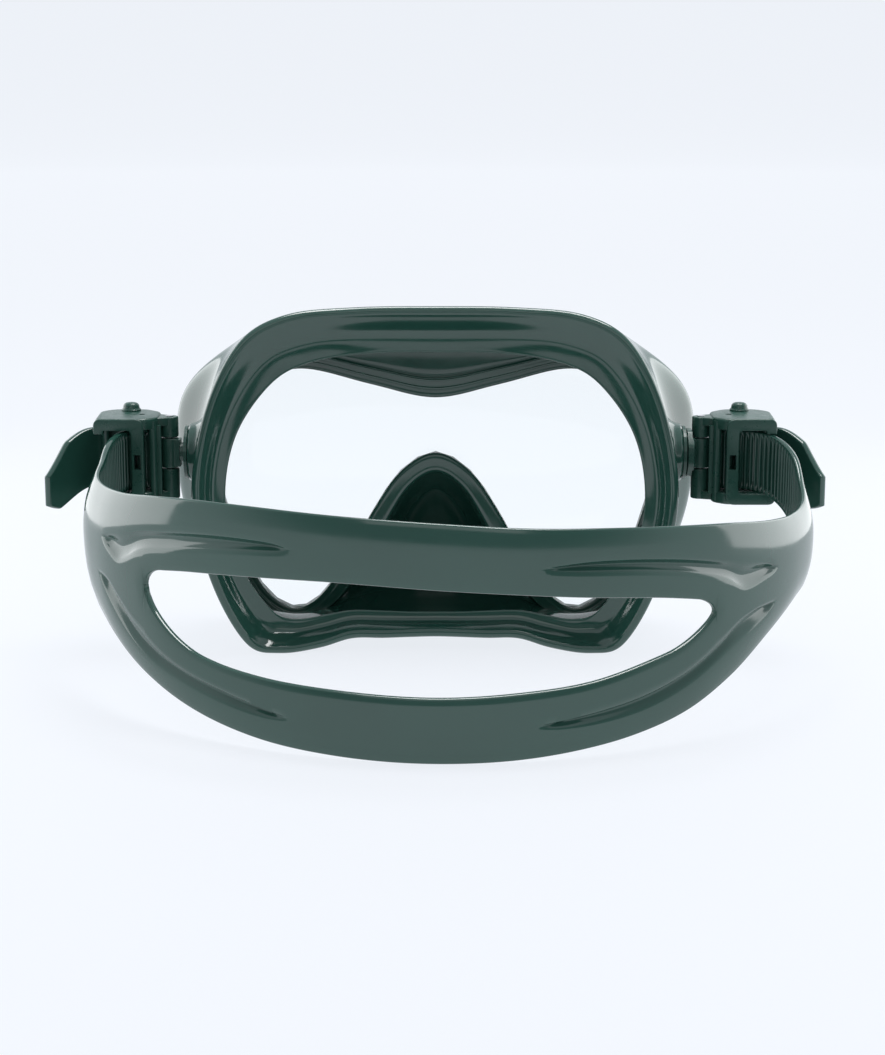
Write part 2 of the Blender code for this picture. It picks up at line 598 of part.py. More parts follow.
def make_buckle_frame(name, side):
    """Two plates joined by a windowed front bar and two posts, with a lug over and under the swivel's knuckle."""
    outline = [(side * x, y) for x, y in BUCKLE_OUTLINE]
    frame = plate(name, outline, PLATE_Z[1])
    lower = plate(name + "_lower_plate", outline, PLATE_Z[0])
    bar = box(name + "_bar", (side * BAR_X[0], side * BAR_X[1]), BAR_Y, (PLATE_Z[0][0] + 1, PLATE_Z[1][1] - 1), 0.5)
    middle = (PLATE_Z[0][0] + PLATE_Z[1][1]) / 2
    window = box(name + "_bar_window", (side * (BAR_X[0] + 0.7), side * (BAR_X[1] - 0.7)),
                 (BAR_Y[0] - 1, BAR_Y[1] + 1), (middle - BAR_WINDOW, middle + BAR_WINDOW))
    web = box(name + "_web", (side * WEB_X[0], side * WEB_X[1]), WEB_Y, (PLATE_Z[0][0] + 1, PLATE_Z[1][1] - 1))
    top = PLATE_Z[1][1]
    cap = turned(name + "_pin_cap", [(radius, top + rise) for radius, rise in PIN_CAP],
                 (side * LEVER_PIN[0], LEVER_PIN[1], 0), 20)
    tools = [(bar, "UNION"), (lower, "UNION"), (window, "DIFFERENCE"), (web, "UNION"), (cap, "UNION")]
    for place, word in ((INNER_POST, "inner_post"), (OUTER_POST, "outer_post")):
        tools.append((upright(f"{name}_{word}", POST_RADIUS, place, (PLATE_Z[0][0] + 1, PLATE_Z[1][1] - 1), side),
                      "UNION"))
    for z, lug_z, word in ((PLATE_Z[1], (HUB_Z + KNUCKLE_HALF + 0.3, PLATE_Z[1][1] - 0.5), "upper"),
                           (PLATE_Z[0], (PLATE_Z[0][0] + 0.5, HUB_Z - KNUCKLE_HALF - 0.3), "lower")):
        lug = upright(f"{name}_{word}_lug", KNUCKLE_RADIUS, (PIN_X, HUB_Y), lug_z, side, 24)
        arm = box(f"{name}_{word}_arm", (side * PIN_X, side * (BUCKLE_OUTLINE[0][0] + 2)),
                  (HUB_Y - KNUCKLE_RADIUS + 0.2, HUB_Y + KNUCKLE_RADIUS - 0.2), (z[0] + 0.7, z[1] - 0.7))
        tools += [(arm, "UNION"), (lug, "UNION")]
    for place, radius, rise, word in (((PIN_X, HUB_Y), YAW_PIN_RADIUS, 2.0, "yaw_hole"),
                                      (ROLLER, AXLE_RADIUS, 2.0, "axle_hole"),
                                      (LEVER_PIN, LEVER_PIN_RADIUS, PIN_CAP_HOLE, "lever_hole")):
        tools.append((upright(f"{name}_{word}", radius + FIT, place, (PLATE_Z[0][0] - 2, top + rise), side),
                      "DIFFERENCE"))
    for tool, operation in tools:
        boolean(frame, tool, operation)
    return frame


def make_roller(name, side):
    inner, outer = AXLE_RADIUS + FIT, ROLLER_RADIUS
    low, high = STRAP_Z[0] + 0.1, STRAP_Z[1] - 0.1
    profile = [(outer - 0.3, high), (outer, high - 0.3), (outer, low + 0.3), (outer - 0.3, low), (inner, low),
               (inner, high)]
    return turned(name, profile, (side * ROLLER[0], ROLLER[1], 0), 20)


def make_release_lever(name, side):
    """The thumb plate behind the strap's far leg, with its pivot knuckle, pawl and a pocket for the spring."""
    z = (STRAP_Z[0] + 0.3, STRAP_Z[1] - 0.3)
    lever = box(name, (side * LEVER_X[0], side * LEVER_X[1]), LEVER_Y, z, 0.5)
    knuckle = upright(name + "_knuckle", LEVER_KNUCKLE, LEVER_PIN, (z[0] + 0.02, z[1] - 0.02), side)
    pawl = box(name + "_pawl", (side * (PAWL_X - 0.8), side * (PAWL_X + 0.8)), (PAWL_TIP_Y, LEVER_Y[0] + 1),
               (z[0] + 1, z[1] - 1), 0.35)
    pocket = upright(name + "_spring_pocket", SPRING_RADIUS + 0.6, LEVER_PIN,
                     (SPRING_Z[0] - 0.6, SPRING_Z[1] + 0.6), side)
    mouth = box(name + "_pocket_mouth", (side * (LEVER_PIN[0] - 2.4), side * (LEVER_PIN[0] + 2.4)),
                (LEVER_PIN[1] - 4, LEVER_PIN[1]), (SPRING_Z[0] - 0.6, SPRING_Z[1] + 0.6))
    hole = upright(name + "_pin_hole", LEVER_PIN_RADIUS + FIT, LEVER_PIN, (z[0] - 2, z[1] + 2), side)
    for tool, operation in ((knuckle, "UNION"), (pawl, "UNION"), (pocket, "DIFFERENCE"), (mouth, "DIFFERENCE"),
                            (hole, "DIFFERENCE")):
        boolean(lever, tool, operation)
    return lever


def make_lever_spring(name, side):
    """A coil round the lever's pin, wound by a loop."""
    points = SPRING_TURNS * 8
    curve = bpy.data.curves.new(name, "CURVE")
    curve.dimensions = "3D"
    curve.bevel_depth = SPRING_WIRE * MM
    curve.bevel_resolution = 2
    curve.resolution_u = 1
    curve.use_fill_caps = True
    spline = curve.splines.new("POLY")
    spline.points.add(points)
    for i, point in enumerate(spline.points):
        angle = 2 * math.pi * i / 8
        z = SPRING_Z[0] + (SPRING_Z[1] - SPRING_Z[0]) * i / points
        point.co = (side * (LEVER_PIN[0] + SPRING_RADIUS * math.cos(angle)) * MM,
                    (LEVER_PIN[1] + SPRING_RADIUS * math.sin(angle)) * MM, z * MM, 1)
    obj = bpy.data.objects.new(name, curve)
    parts.objects.link(obj)
    return bake(obj)


def build():
    clear_scene()
    mask = axis_empty("mask_frame", (0, FORWARD, 0), None)
    hub_axis = (0, HUB_Y, HUB_Z)
    mask_parts = [(make_skirt, SILICONE), (make_lens, GLASS), (make_lens_frame, PLASTIC)]
    for make, look in mask_parts:
        finish(make(), look, mask)
    tilt = axis_empty("strap_tilt_axis", hub_axis, mask)
    finish(make_head_strap(), SILICONE, tilt)
    for side, word in ((1, "right"), (-1, "left")):
        finish(make_side_post(f"{word}_side_post", side), PLASTIC, mask)
        finish(make_swivel_hub(f"{word}_swivel_hub", side), PLASTIC, tilt)
        pin = upright(f"{word}_yaw_pin", YAW_PIN_RADIUS, (PIN_X, HUB_Y), (PLATE_Z[0][0] + 0.3, PLATE_Z[1][1] - 0.3),
                      side)
        finish(pin, STEEL, tilt)
        yaw = axis_empty(f"{word}_buckle_axis", (side * PIN_X, HUB_Y, HUB_Z), tilt)
        axle = upright(f"{word}_roller_axle", AXLE_RADIUS, ROLLER, (PLATE_Z[0][0] + 0.3, PLATE_Z[1][1] - 0.3), side)
        finish(axle, STEEL, yaw)
        finish(make_buckle_frame(f"{word}_buckle_frame", side), PLASTIC, yaw)
        finish(make_strap_end(f"{word}_strap_end", side), SILICONE, yaw)
        pin = upright(f"{word}_lever_pin", LEVER_PIN_RADIUS, LEVER_PIN,
                      (PLATE_Z[0][0] + 0.3, PLATE_Z[1][1] + PIN_CAP_HOLE - 0.3), side)
        finish(pin, STEEL, yaw)
        finish(make_lever_spring(f"{word}_lever_spring", side), STEEL, yaw)
        roller_axis = axis_empty(f"{word}_roller_centre", (side * ROLLER[0], ROLLER[1], HUB_Z), yaw)
        finish(make_roller(f"{word}_roller", side), PLASTIC, roller_axis)
        lever_axis = axis_empty(f"{word}_lever_axis", (side * LEVER_PIN[0], LEVER_PIN[1], HUB_Z), yaw)
        finish(make_release_lever(f"{word}_release_lever", side), PLASTIC, lever_axis)


build()
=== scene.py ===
"""Looks of a single-lens diving mask: silicone skirt, split strap, glass lens, plastic buckles, steel pins.

Lengths are in millimetres in the mask's own frame and become metres where a mesh is made. In that frame
X runs across the face, Y runs forward out of the lens with 0 at the foot of the face flange, and Z is up
from the floor.
"""
import math

import bmesh
import bpy
import numpy as np
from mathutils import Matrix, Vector


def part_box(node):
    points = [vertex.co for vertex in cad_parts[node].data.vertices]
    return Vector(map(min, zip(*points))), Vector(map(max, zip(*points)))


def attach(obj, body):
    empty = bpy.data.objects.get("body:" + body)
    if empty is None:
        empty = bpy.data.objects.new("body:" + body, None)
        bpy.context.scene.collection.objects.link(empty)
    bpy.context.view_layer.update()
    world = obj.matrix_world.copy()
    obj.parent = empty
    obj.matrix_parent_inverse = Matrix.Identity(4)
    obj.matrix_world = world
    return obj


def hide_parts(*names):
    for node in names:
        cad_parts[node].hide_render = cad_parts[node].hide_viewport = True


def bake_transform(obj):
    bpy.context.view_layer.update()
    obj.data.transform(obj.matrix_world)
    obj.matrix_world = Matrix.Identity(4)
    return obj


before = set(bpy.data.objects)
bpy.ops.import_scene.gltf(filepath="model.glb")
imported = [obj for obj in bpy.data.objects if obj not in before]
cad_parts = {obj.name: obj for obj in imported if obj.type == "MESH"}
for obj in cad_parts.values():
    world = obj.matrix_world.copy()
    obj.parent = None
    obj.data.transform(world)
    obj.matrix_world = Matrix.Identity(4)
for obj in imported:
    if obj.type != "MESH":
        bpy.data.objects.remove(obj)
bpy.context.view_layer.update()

MM = 0.001
LENS_FRONT = 47.0
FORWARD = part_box("lens")[1].y / MM - LENS_FRONT  # from the mask's frame to the frame's

# Camera
CAMERA_PLACE = (2.2, -644.0, 176.6)
CAMERA_DROOP = 12.0  # degrees below level
FOCAL_LENGTH = 75.07

# Skirt
STATIONS = 14  # key points on half an outline, from the top centre round the temple to the nose
SKIRT_COLUMNS = 6  # columns of the skirt between two stations
SKIRT_ROWS = 5  # rows of the skirt between two key rings
WALL = 2.2
SHOULDER_Y, FRONT_Y = 36.5, 45.0  # rings of the outer face between the bulge and the rim
RIM_BACK_Y = 38.0
RIM_FRONT_Y = 49.2
LENS_Y = (43.6, 47.0)
FRAME_Y = (40.3, 43.2)
CHANNEL_FLOOR = 0.56
BEAD_RADIUS = 1.5
BEAD_PLACE = (1.7, -0.9)  # the bead's centre, in from the flange's edge and up off its face

# The flange from its bead to its lip: share of its width, distance in from its edge, and up off its face
FLANGE_PROFILE = [(0.0, 3.1, 0.2), (0.1, 3.2, -0.15), (0.25, 2.6, -0.75), (0.4, 2.0, -1.35),
                  (0.52, 1.6, -1.7), (0.62, 1.2, -1.7), (0.74, 0.8, -1.35), (0.86, 0.4, -0.9),
                  (1, -0.7, -0.45), (1, -0.25, -0.35), (1, 0.0, -0.55), (1, 0.06, -0.9), (1, -0.15, -1.3),
                  (1, -0.7, -1.6), (0.82, 0, -2.3), (0.62, 0, -2.7), (0.45, 0, -2.75)]
# The rim's back: share of the way from window to rim elsewhere and at the nose, then depth in the same order
BACK_LIP = [(0.72, 1.18, 36.6, 40.6), (0.69, 1.1, 36.5, 38.8), (0.67, 1.0, 36.7, 38.2),
            (0.655, 0.85, 37.3, 38.0), (0.62, 0.7, 37.45, 38.0), (0.42, 0.45, 37.5, 38.0),
            (0.385, 0.32, 37.6, 38.0), (0.37, 0.22, 38.2, 38.05), (0.33, 0.14, 38.35, 38.12),
            (0.08, 0.06, 38.45, 38.45)]
# The channel that holds the lens and its frame, and the rim's front, as (share, depth)
CHANNEL_BACK = [(0.0, 38.75), (0.0, 39.7), (0.06, FRAME_Y[0] - 0.3), (CHANNEL_FLOOR, FRAME_Y[0] - 0.3)]
FRONT_LIP = [(CHANNEL_FLOOR, LENS_Y[1] + 0.3), (0.34, LENS_Y[1] + 0.3), (0.3, LENS_Y[1] + 0.5),
             (0.3, RIM_FRONT_Y - 0.5), (0.36, RIM_FRONT_Y - 0.05), (0.5, RIM_FRONT_Y + 0.1),
             (0.8, RIM_FRONT_Y + 0.1), (0.94, RIM_FRONT_Y - 0.1)]

# Half outlines (x, z), one point for each station
FLANGE_EDGE = [(0, 105), (24, 104.8), (44, 103.2), (57.5, 95.4), (67.2, 76), (71.4, 50), (66.4, 24),
               (57, 3.8), (47, 0.6), (35, 2.0), (25.5, 4.7), (16, 4.7), (7.5, 5.0), (0, 5.2)]
OPENING = [(0, 90.4), (20, 90.2), (37, 88.2), (48.5, 82.4), (59, 67), (62.2, 47), (57.8, 27), (49.5, 12.5),
           (42.5, 9.6), (34, 10.4), (26, 11.6), (16.5, 11.4), (8, 11.0), (0, 11.0)]
BULGE = [(0, 97), (24, 97), (47, 95.6), (64.4, 89.6), (78.2, 75.6), (80.6, 54), (76, 31), (63, 9.6),
         (48.5, 3.2), (36, 3.2), (27, 3.6), (18, 3.6), (9, 3.6), (0, 3.6)]
RIM = [(0, 82), (21, 85.4), (43.5, 89.4), (60.5, 83.8), (71.2, 69.5), (73, 50), (68.6, 29), (59, 8.6),
       (46.6, 0.6), (34.4, 4.6), (23.4, 18.6), (15.4, 34.4), (8.4, 45.2), (0, 50)]
WINDOW = [(0, 73), (20, 77.2), (41.5, 82.2), (55.5, 77.6), (65.6, 65.6), (68, 49.6), (63.6, 31), (55.4, 13),
          (46, 5.4), (37.4, 8.8), (28.4, 21.4), (20.2, 36.6), (11.2, 49.6), (0, 55.7)]
FLANGE_Y = [5, 4, -1, -5, -8, -8.5, -5.5, -0.5, 1, 3, 4.5, 5, 5.4, 5.5]
NECK_Y = 17.0
# Where the neck lies on the way from the flange to the bulge
NECK_SHARE = [0.5, 0.5, 0.5, 0.35, 0.12, 0.08, 0.15, 0.3, 0.3, 0.3, 0.3, 0.3, 0.3, 0.3]
BULGE_Y = [29, 29, 29, 30, 32, 32, 31, 30, 30, 32, 38, 47, 54, 56]
# The nose pocket, stations 9 to 13: its nose and its bridge as (x, y, z)
POCKET_NOSE = [(36, 38, 3.0), (27.4, 49, 6.4), (19.4, 62, 10.6), (10.6, 69.5, 12.6), (0, 71.6, 13)]
POCKET_BRIDGE = [(34.8, 46.5, 4.2), (24.6, 50.5, 15), (17, 57, 28.4), (9.4, 63, 36.6), (0, 65.4, 39.6)]

# Swivel and buckle, as in the frame
HUB_Y, HUB_Z = 12.0, 60.5
HUB_X = (75.7, 77.2)
HUB_RADIUS = 7.6
PIN_X = 80.2
KNUCKLE_RADIUS, KNUCKLE_HALF = 2.7, 4.5
YAW_PIN_RADIUS = 1.2
STUD_RADIUS, STUD_END_X = 3.0, 77.0
FIT = 0.08
SWIVEL_DISC = [(HUB_X[0], HUB_RADIUS - 0.5), (HUB_X[0] + 0.25, HUB_RADIUS), (HUB_X[1] + 0.4, HUB_RADIUS),
               (HUB_X[1] + 0.8, HUB_RADIUS - 0.6)]  # (x, radius)
SWIVEL_RING = [(0, HUB_X[1] + 0.2), (5.2, HUB_X[1] + 0.2), (5.2, HUB_X[1] + 0.95), (4.9, HUB_X[1] + 1.15),
               (4.1, HUB_X[1] + 1.15), (3.7, HUB_X[1] + 0.9), (0, HUB_X[1] + 0.9)]  # (radius, x)
STUD_BORE = [(0, HUB_X[0] - 1), (STUD_RADIUS + FIT, HUB_X[0] - 1), (STUD_RADIUS + FIT, STUD_END_X + 0.2),
             (0, STUD_END_X + 0.2)]  # (radius, x)
PLATE_Z = ((46.0, 49.6), (68.4, 72.0))
PLATE_OUTLINE = [(83.2, 6.6), (87.0, 2.9), (101.4, 2.9), (102.0, 19.0), (98.0, 23.0), (88.0, 23.0),
                 (83.2, 18.0)]
HOOP_X, HOOP_Y = (87.0, 101.9), (2.6, 6.2)  # the buckle's front hoop, open on its outer side
HOOP_LEG, HOOP_BAR = 3.8, 3.5  # widths of its leg and of its top and bottom bars
HOOP_HOOKS = (67.4, 50.6)  # where its short outer ends stop
POSTS = ((84.6, 6.6), (99.4, 12.4))
POST_RADIUS = 1.2
# The thin wall between the swivel and the strap's wrap
WEB_X, WEB_Y = (83.15, 83.75), (7.2, 16.8)
SHIELD_X, SHIELD_Y = (82.2, 83.75), (6.7, 8.3)  # thicker edge of that wall, behind the knuckle
ROLLER = (88.5, 12.5)
ROLLER_RADIUS = 2.0
AXLE_RADIUS = 0.9
LEVER_PIN, LEVER_PIN_RADIUS = (92.7, 19.9), 1.1
PIN_CAP = [(0, 2.56), (0.8, 2.54), (1.5, 2.42), (2.05, 2.15), (2.4, 1.65), (2.5, 1.0), (2.65, 0.7),
           (2.95, 0.4), (2.95, -0.5), (0, -0.5)]
PIN_CAP_HOLE = 1.0  # how far the pin's hole runs up inside its cap
LEVER_X, LEVER_Y = (86.6, 101.4), (19.5, 23.2)
LEVER_KNUCKLE = 2.1
LEVER_GRIPS = 5
GRIP_START_X, GRIP_PITCH, GRIP_RADIUS = 95.0, 1.35, 0.45
PAWL_X, PAWL_TIP_Y = 89.6, 17.5
SPRING_Z, SPRING_RADIUS = (56.0, 62.0), 1.6
BOSS_PROFILE = [(0, 74.4), (7.9, 74.4), (8.5, 74.1), (8.8, 73.4), (9.0, 72.4), (9.5, 71.4), (10.6, 70.2),
                (12.4, 69.0), (14.6, 67.6)]  # (radius, x)

# Strap
STRAP = 2.2  # thickness
STRAP_Z = (50.0, 68.0)  # at the buckle
EDGE_ROUND = 0.5
ROUND_ROWS = (0.0, 0.02, 0.08, 0.18, 0.32, 0.5)
# How far the face falls to an edge, and over what width
CROWNS = {"top": (1.0, 8.5), "low": (0.9, 7.0), "window": (0.4, 4.0)}
LOOP_X, LOOP_Y = 105.0, 105.6  # semi-axes of the strap's loop
LOOP_SHIFT = 4.5  # the loop hangs this far to the right of the mask
SEAM_Y = -30.0  # where the strap's ribbed ends begin
ARM_BEND = [(1, SEAM_Y), (1.06, -18), (1.01, -8), (0.78, 1.2), (0.42, 6.4)]  # share of the arm's reach, and y
FLARES = {-1: 3.0, 1: 1.8}  # how far the sides of the loop bulge out below their upper edge
TAIL = [(97, 15.8), (102.5, 13.6), (107, 9.4), (111.2, 3.6), (115.2, -3.0)]
TAIL_DROP = 5.8
TAIL_LEVEL = 0.45  # share of the tail that leaves the buckle level
TAIL_CHAMFERS = ((5.0, 2.6), (9.0, 6.4))  # length and depth of the cut at the tail's lower and upper corner
PATH_PARTS = 40  # points on the strap's path between two keys
WRAP_GAP = 0.3  # between the strap and the roller
TAIL_AIM = (119.2, -9.6, 0)  # the point that the tail's curve heads for
GROOVE_DEPTH = 1.5
GROOVE_DEEPEST = {"lower": 0.22, "upper": 0.5}  # share of the way from a groove's crisp line to its soft one
ARM_GROOVES = (0.26, 0.34, 0.66, 0.74)  # where the grooves' lines run on a strap end, as shares of its width
RIB_PITCH, RIB_HEIGHT = 1.6, 0.85
RIB_COLUMN = RIB_PITCH / 8
RIB_MARGIN = 1.7  # from the ribs' ends to the strap's edge
RIB_BIAS, RIB_SWING = 0.42, 1.1  # a rib's profile is a cosine wave about the bias, cut flat at 0 and 1
RIBS_EARLY, RIBS_STOP = 10, 14  # how far before the seam the ribs start and before the tail's end they stop
LEAN_END = 0.56  # share of the strap end by which the loop's outward lean is gone

# The head panel's lines, as (degrees round the loop from its back, height)
TOP_EDGE = [(-73.5, 60.9), (-60, 60.9), (-50, 62.8), (-41, 64.2), (-31, 64.7), (-17, 64.2), (0, 62.8),
            (9, 61.6), (26, 59.8), (44, 57.0), (57, 54.1), (65, 53.0), (73.5, 54.0)]
LOW_EDGE = [(-73.5, 29.5), (-64, 22.2), (-51, 12.8), (-42.7, 8.0), (-29, 2.9), (-17, 0.9), (0, 0.1),
            (10, 0.7), (18, 2.0), (27, 4.3), (37, 8.6), (45, 14.4), (55, 22.8), (65, 28.6), (73.5, 31.5)]
WINDOW_TOP = [(-52, 42.4), (-46.8, 43.4), (-42, 44.5), (-36, 45.4), (-28, 46.3), (-17, 46.9), (0, 45.6),
              (9, 44.4), (17.5, 42.9), (32.8, 39.8), (38, 38.1), (42, 36.6)]
WINDOW_LOW = [(-52, 28.6), (-46, 25.5), (-42, 23.8), (-35, 21.2), (-29, 19.9), (-17, 18.6), (0, 17.8),
              (9.4, 18.6), (20.5, 20.4), (29.7, 24.0), (36.6, 27.0), (42, 30.0)]
# The window's end on each side: angle, height, upper and lower rounding
WINDOW_ENDS = {-1: (-50.3, 38.5, 6.5, 22.0), 1: (41.2, 34.2, 6.0, 16.0)}
MIDDLE = [(-73.5, 45.2), (-64.5, 42.2), (-57, 38.0), (-50.3, 38.5), (41.2, 34.2), (47.3, 34.5), (56, 36.7),
          (65, 40.4), (73.5, 42.8)]
LOWER_GROOVE_OUT = [(-73.5, 42.0), (-64.5, 36.4), (-59.6, 28.3), (-53.7, 21.5), (-48.8, 17.5), (-42.6, 14.3),
                    (-35.4, 11.2), (-29, 9.4), (-23.3, 9.0), (-18, 9.3), (0, 9.0), (8, 9.0), (11.4, 8.8),
                    (20.6, 8.9), (29.9, 11.6), (36.8, 15.8), (44.7, 22.6), (51.9, 27.9), (56, 31.3), (62, 35),
                    (73.5, 39.5)]
LOWER_GROOVE_IN = [(-73.5, 43.0), (-64.5, 37.6), (-60, 35.6), (-56.9, 31.4), (-53.6, 26.6), (-48.7, 21.7),
                   (-42.5, 17.8), (-35.3, 14.8), (-29, 12.3), (-23.5, 10.4), (-18, 9.9), (0, 9.6), (8, 9.6),
                   (12.2, 10.2), (20.6, 12.3), (29.8, 15.8), (36.7, 20), (42.5, 25.3), (46.8, 30.0),
                   (50, 31.6), (55.7, 32.4), (62, 36), (73.5, 40.5)]
UPPER_GROOVE_LOW = [(-73.5, 47.6), (-62.9, 47.2), (-60, 44.7), (-57.2, 42.7), (-54.8, 44.2), (-52.4, 46.7),
                    (-45, 49.8), (-38, 51.8), (-31.6, 53), (-25.7, 53.9), (-22.4, 54.5), (-18, 54.7),
                    (0, 53.2), (8, 51.3), (12.3, 50.7), (17.5, 49.9), (29.4, 48), (38, 45.2), (43.8, 41.8),
                    (47.3, 38.4), (49.5, 38.6), (52, 39.6), (56.3, 41), (62, 42.6), (73.5, 44.6)]
UPPER_GROOVE_TOP = [(-73.5, 48.8), (-62.9, 48.4), (-58, 50.8), (-50, 54), (-38, 56.4), (-30, 56.6),
                    (-25.6, 56.1), (-22.4, 55.1), (-18, 55.3), (0, 53.9), (8, 51.9), (12.3, 51.6),
                    (20.3, 52.4), (29, 51.6), (38, 49.4), (47, 46.2), (53, 43.8), (56.3, 42.0), (62, 43.4),
                    (73.5, 45.6)]
GROOVE_SPANS = {"lower": ((-64.5, -23.0), (11.6, 56.0)), "upper": ((-62.9, -22.2), (12.0, 56.3))}
# The same lines on a strap end, as (share of the way to the buckle, height)
ARM_TOP = {-1: [(0.3, 63.4), (0.6, 66.8), (0.9, 68), (1, 68)], 1: [(0.2, 57.4), (0.45, 63.4), (0.7, 67),
           (0.9, 68), (1, 68)]}
ARM_LOW = {-1: [(0.3, 39), (0.6, 46.6), (0.9, 49.8), (1, 50)], 1: [(0.3, 38.6), (0.6, 46), (0.9, 49.8),
           (1, 50)]}

# Materials, linear colours
GREEN_SILICONE = (0.0185, 0.0690, 0.0525)
GREEN_PLASTIC = (0.0175, 0.0660, 0.0500)
STEEL = (0.56, 0.57, 0.58)
SWEEP = (0.085, 0.088, 0.094)
BACKDROP = (0.880, 0.913, 0.965)
SWEEP_GLOW = (0.2, 0.89)  # strength of the sweep's own light behind the strap and behind the lens
SWEEP_FADE = (-3.4, -0.5)  # where it changes along Y, in metres
WORLD_FADE = (0.1, 0.6)
WORLD_GLOW = (0.14, 0.7)  # strength of the studio's light from the sides and from above


# ---------------------------------------------------------------- materials

def new_material(name):
    made = bpy.data.materials.new(name)
    made.use_nodes = True
    nodes, links = made.node_tree.nodes, made.node_tree.links
    return made, nodes, links, nodes["Principled BSDF"]


def add_noise(nodes, links, scale, detail=3.0, roughness=0.55):
    """A noise texture in the object's own metres."""
    place = nodes.get("Texture Coordinate") or nodes.new("ShaderNodeTexCoord")
    noise = nodes.new("ShaderNodeTexNoise")
    noise.inputs["Scale"].default_value = scale
    noise.inputs["Detail"].default_value = detail
    noise.inputs["Roughness"].default_value = roughness
    links.new(place.outputs["Object"], noise.inputs["Vector"])
    return noise.outputs["Fac"]


def add_range(nodes, links, source, low, high):
    """The source's middle range spread from low to high."""
    spread = nodes.new("ShaderNodeMapRange")
    spread.inputs["From Min"].default_value = 0.3
    spread.inputs["From Max"].default_value = 0.7
    spread.inputs["To Min"].default_value = low
    spread.inputs["To Max"].default_value = high
    links.new(source, spread.inputs["Value"])
    return spread.outputs["Result"]


def add_fade(nodes, links, source, span, levels):
    """The source eased from the first level to the second over the span."""
    fade = nodes.new("ShaderNodeMapRange")
    fade.interpolation_type = "SMOOTHSTEP"
    fade.inputs["From Min"].default_value, fade.inputs["From Max"].default_value = span
    fade.inputs["To Min"].default_value, fade.inputs["To Max"].default_value = levels
    links.new(source, fade.inputs["Value"])
    return fade.outputs["Result"]


def add_tint(nodes, links, source, colour, change):
    """The colour made darker and lighter by the share that change says, after the source."""
    ramp = nodes.new("ShaderNodeValToRGB")
    ramp.color_ramp.elements[0].position = 0.3
    ramp.color_ramp.elements[1].position = 0.7
    ramp.color_ramp.elements[0].color = (*[part * (1 - change) for part in colour], 1)
    ramp.color_ramp.elements[1].color = (*[part * (1 + change) for part in colour], 1)
    links.new(source, ramp.inputs["Fac"])
    return ramp.outputs["Color"]


def add_bump(nodes, links, shader, layers):
    """Stacks bumps, each (height source, strength, distance in metres)."""
    last = None
    for source, strength, distance in layers:
        bump = nodes.new("ShaderNodeBump")
        bump.inputs["Strength"].default_value = strength
        bump.inputs["Distance"].default_value = distance
        links.new(source, bump.inputs["Height"])
        if last:
            links.new(last.outputs["Normal"], bump.inputs["Normal"])
        last = bump
    links.new(last.outputs["Normal"], shader.inputs["Normal"])


def silicone_material():
    """Glossy moulded silicone: soft waves of the mould, a fine satin grain, and thin uneven wiping marks."""
    made, nodes, links, shader = new_material("green_silicone")
    waves = add_noise(nodes, links, 55, 2.0)
    grain = add_noise(nodes, links, 4200, 2.0)
    cloud = add_noise(nodes, links, 28, 4.0)
    smear = add_noise(nodes, links, 160, 5.0, 0.65)
    tint = add_tint(nodes, links, cloud, GREEN_SILICONE, 0.07)
    links.new(tint, shader.inputs["Base Color"])
    links.new(add_range(nodes, links, smear, 0.09, 0.15), shader.inputs["Roughness"])
    bumps = [(waves, 0.12, 0.0003), (grain, 0.02, 0.00001)]
    add_bump(nodes, links, shader, bumps)
    shader.inputs["IOR"].default_value = 1.66
    return made


def plastic_material():
    """Injection-moulded satin plastic: an even fine grain, a little wear in the gloss, faint flow marks."""
    made, nodes, links, shader = new_material("green_plastic")
    grain = add_noise(nodes, links, 2600, 3.0)
    flow = add_noise(nodes, links, 90, 3.0)
    wear = add_noise(nodes, links, 420, 6.0, 0.7)
    links.new(add_tint(nodes, links, flow, GREEN_PLASTIC, 0.08), shader.inputs["Base Color"])
    links.new(add_range(nodes, links, wear, 0.24, 0.38), shader.inputs["Roughness"])
    bumps = [(grain, 0.04, 0.00001), (flow, 0.08, 0.0001)]
    add_bump(nodes, links, shader, bumps)
    shader.inputs["IOR"].default_value = 1.5
    return made


def steel_material():
    """Stainless steel with a drawn grain along the pins."""
    made, nodes, links, shader = new_material("pin_steel")
    drawn = add_noise(nodes, links, 900, 4.0)
    stretch = nodes.new("ShaderNodeMapping")
    stretch.inputs["Scale"].default_value = (1, 1, 0.06)
    links.new(nodes["Texture Coordinate"].outputs["Object"], stretch.inputs["Vector"])
    links.new(stretch.outputs["Vector"], drawn.node.inputs["Vector"])
    links.new(add_tint(nodes, links, drawn, STEEL, 0.08), shader.inputs["Base Color"])
    links.new(add_range(nodes, links, drawn, 0.18, 0.34), shader.inputs["Roughness"])
    add_bump(nodes, links, shader, [(drawn, 0.15, 0.00002)])
    shader.inputs["Metallic"].default_value = 1.0
    return made


def glass_material():
    """Clear tempered glass that lets the light straight through, with its own reflections."""
    made, nodes, links, shader = new_material("clear_glass")
    haze = add_noise(nodes, links, 70, 4.0)
    links.new(add_range(nodes, links, haze, 0.0, 0.03), shader.inputs["Roughness"])
    shader.inputs["Base Color"].default_value = (0.97, 0.99, 0.985, 1)
    shader.inputs["Transmission Weight"].default_value = 1.0
    shader.inputs["IOR"].default_value = 1.2
    return made


# ---------------------------------------------------------------- meshes

def place(point):
    """A point of the mask's frame in metres in the frame's."""
    return Vector((point[0], point[1] + FORWARD, point[2])) * MM


def loose_object(name, mesh):
    obj = bpy.data.objects.new(name, mesh)
    bpy.context.scene.collection.objects.link(obj)
    return obj


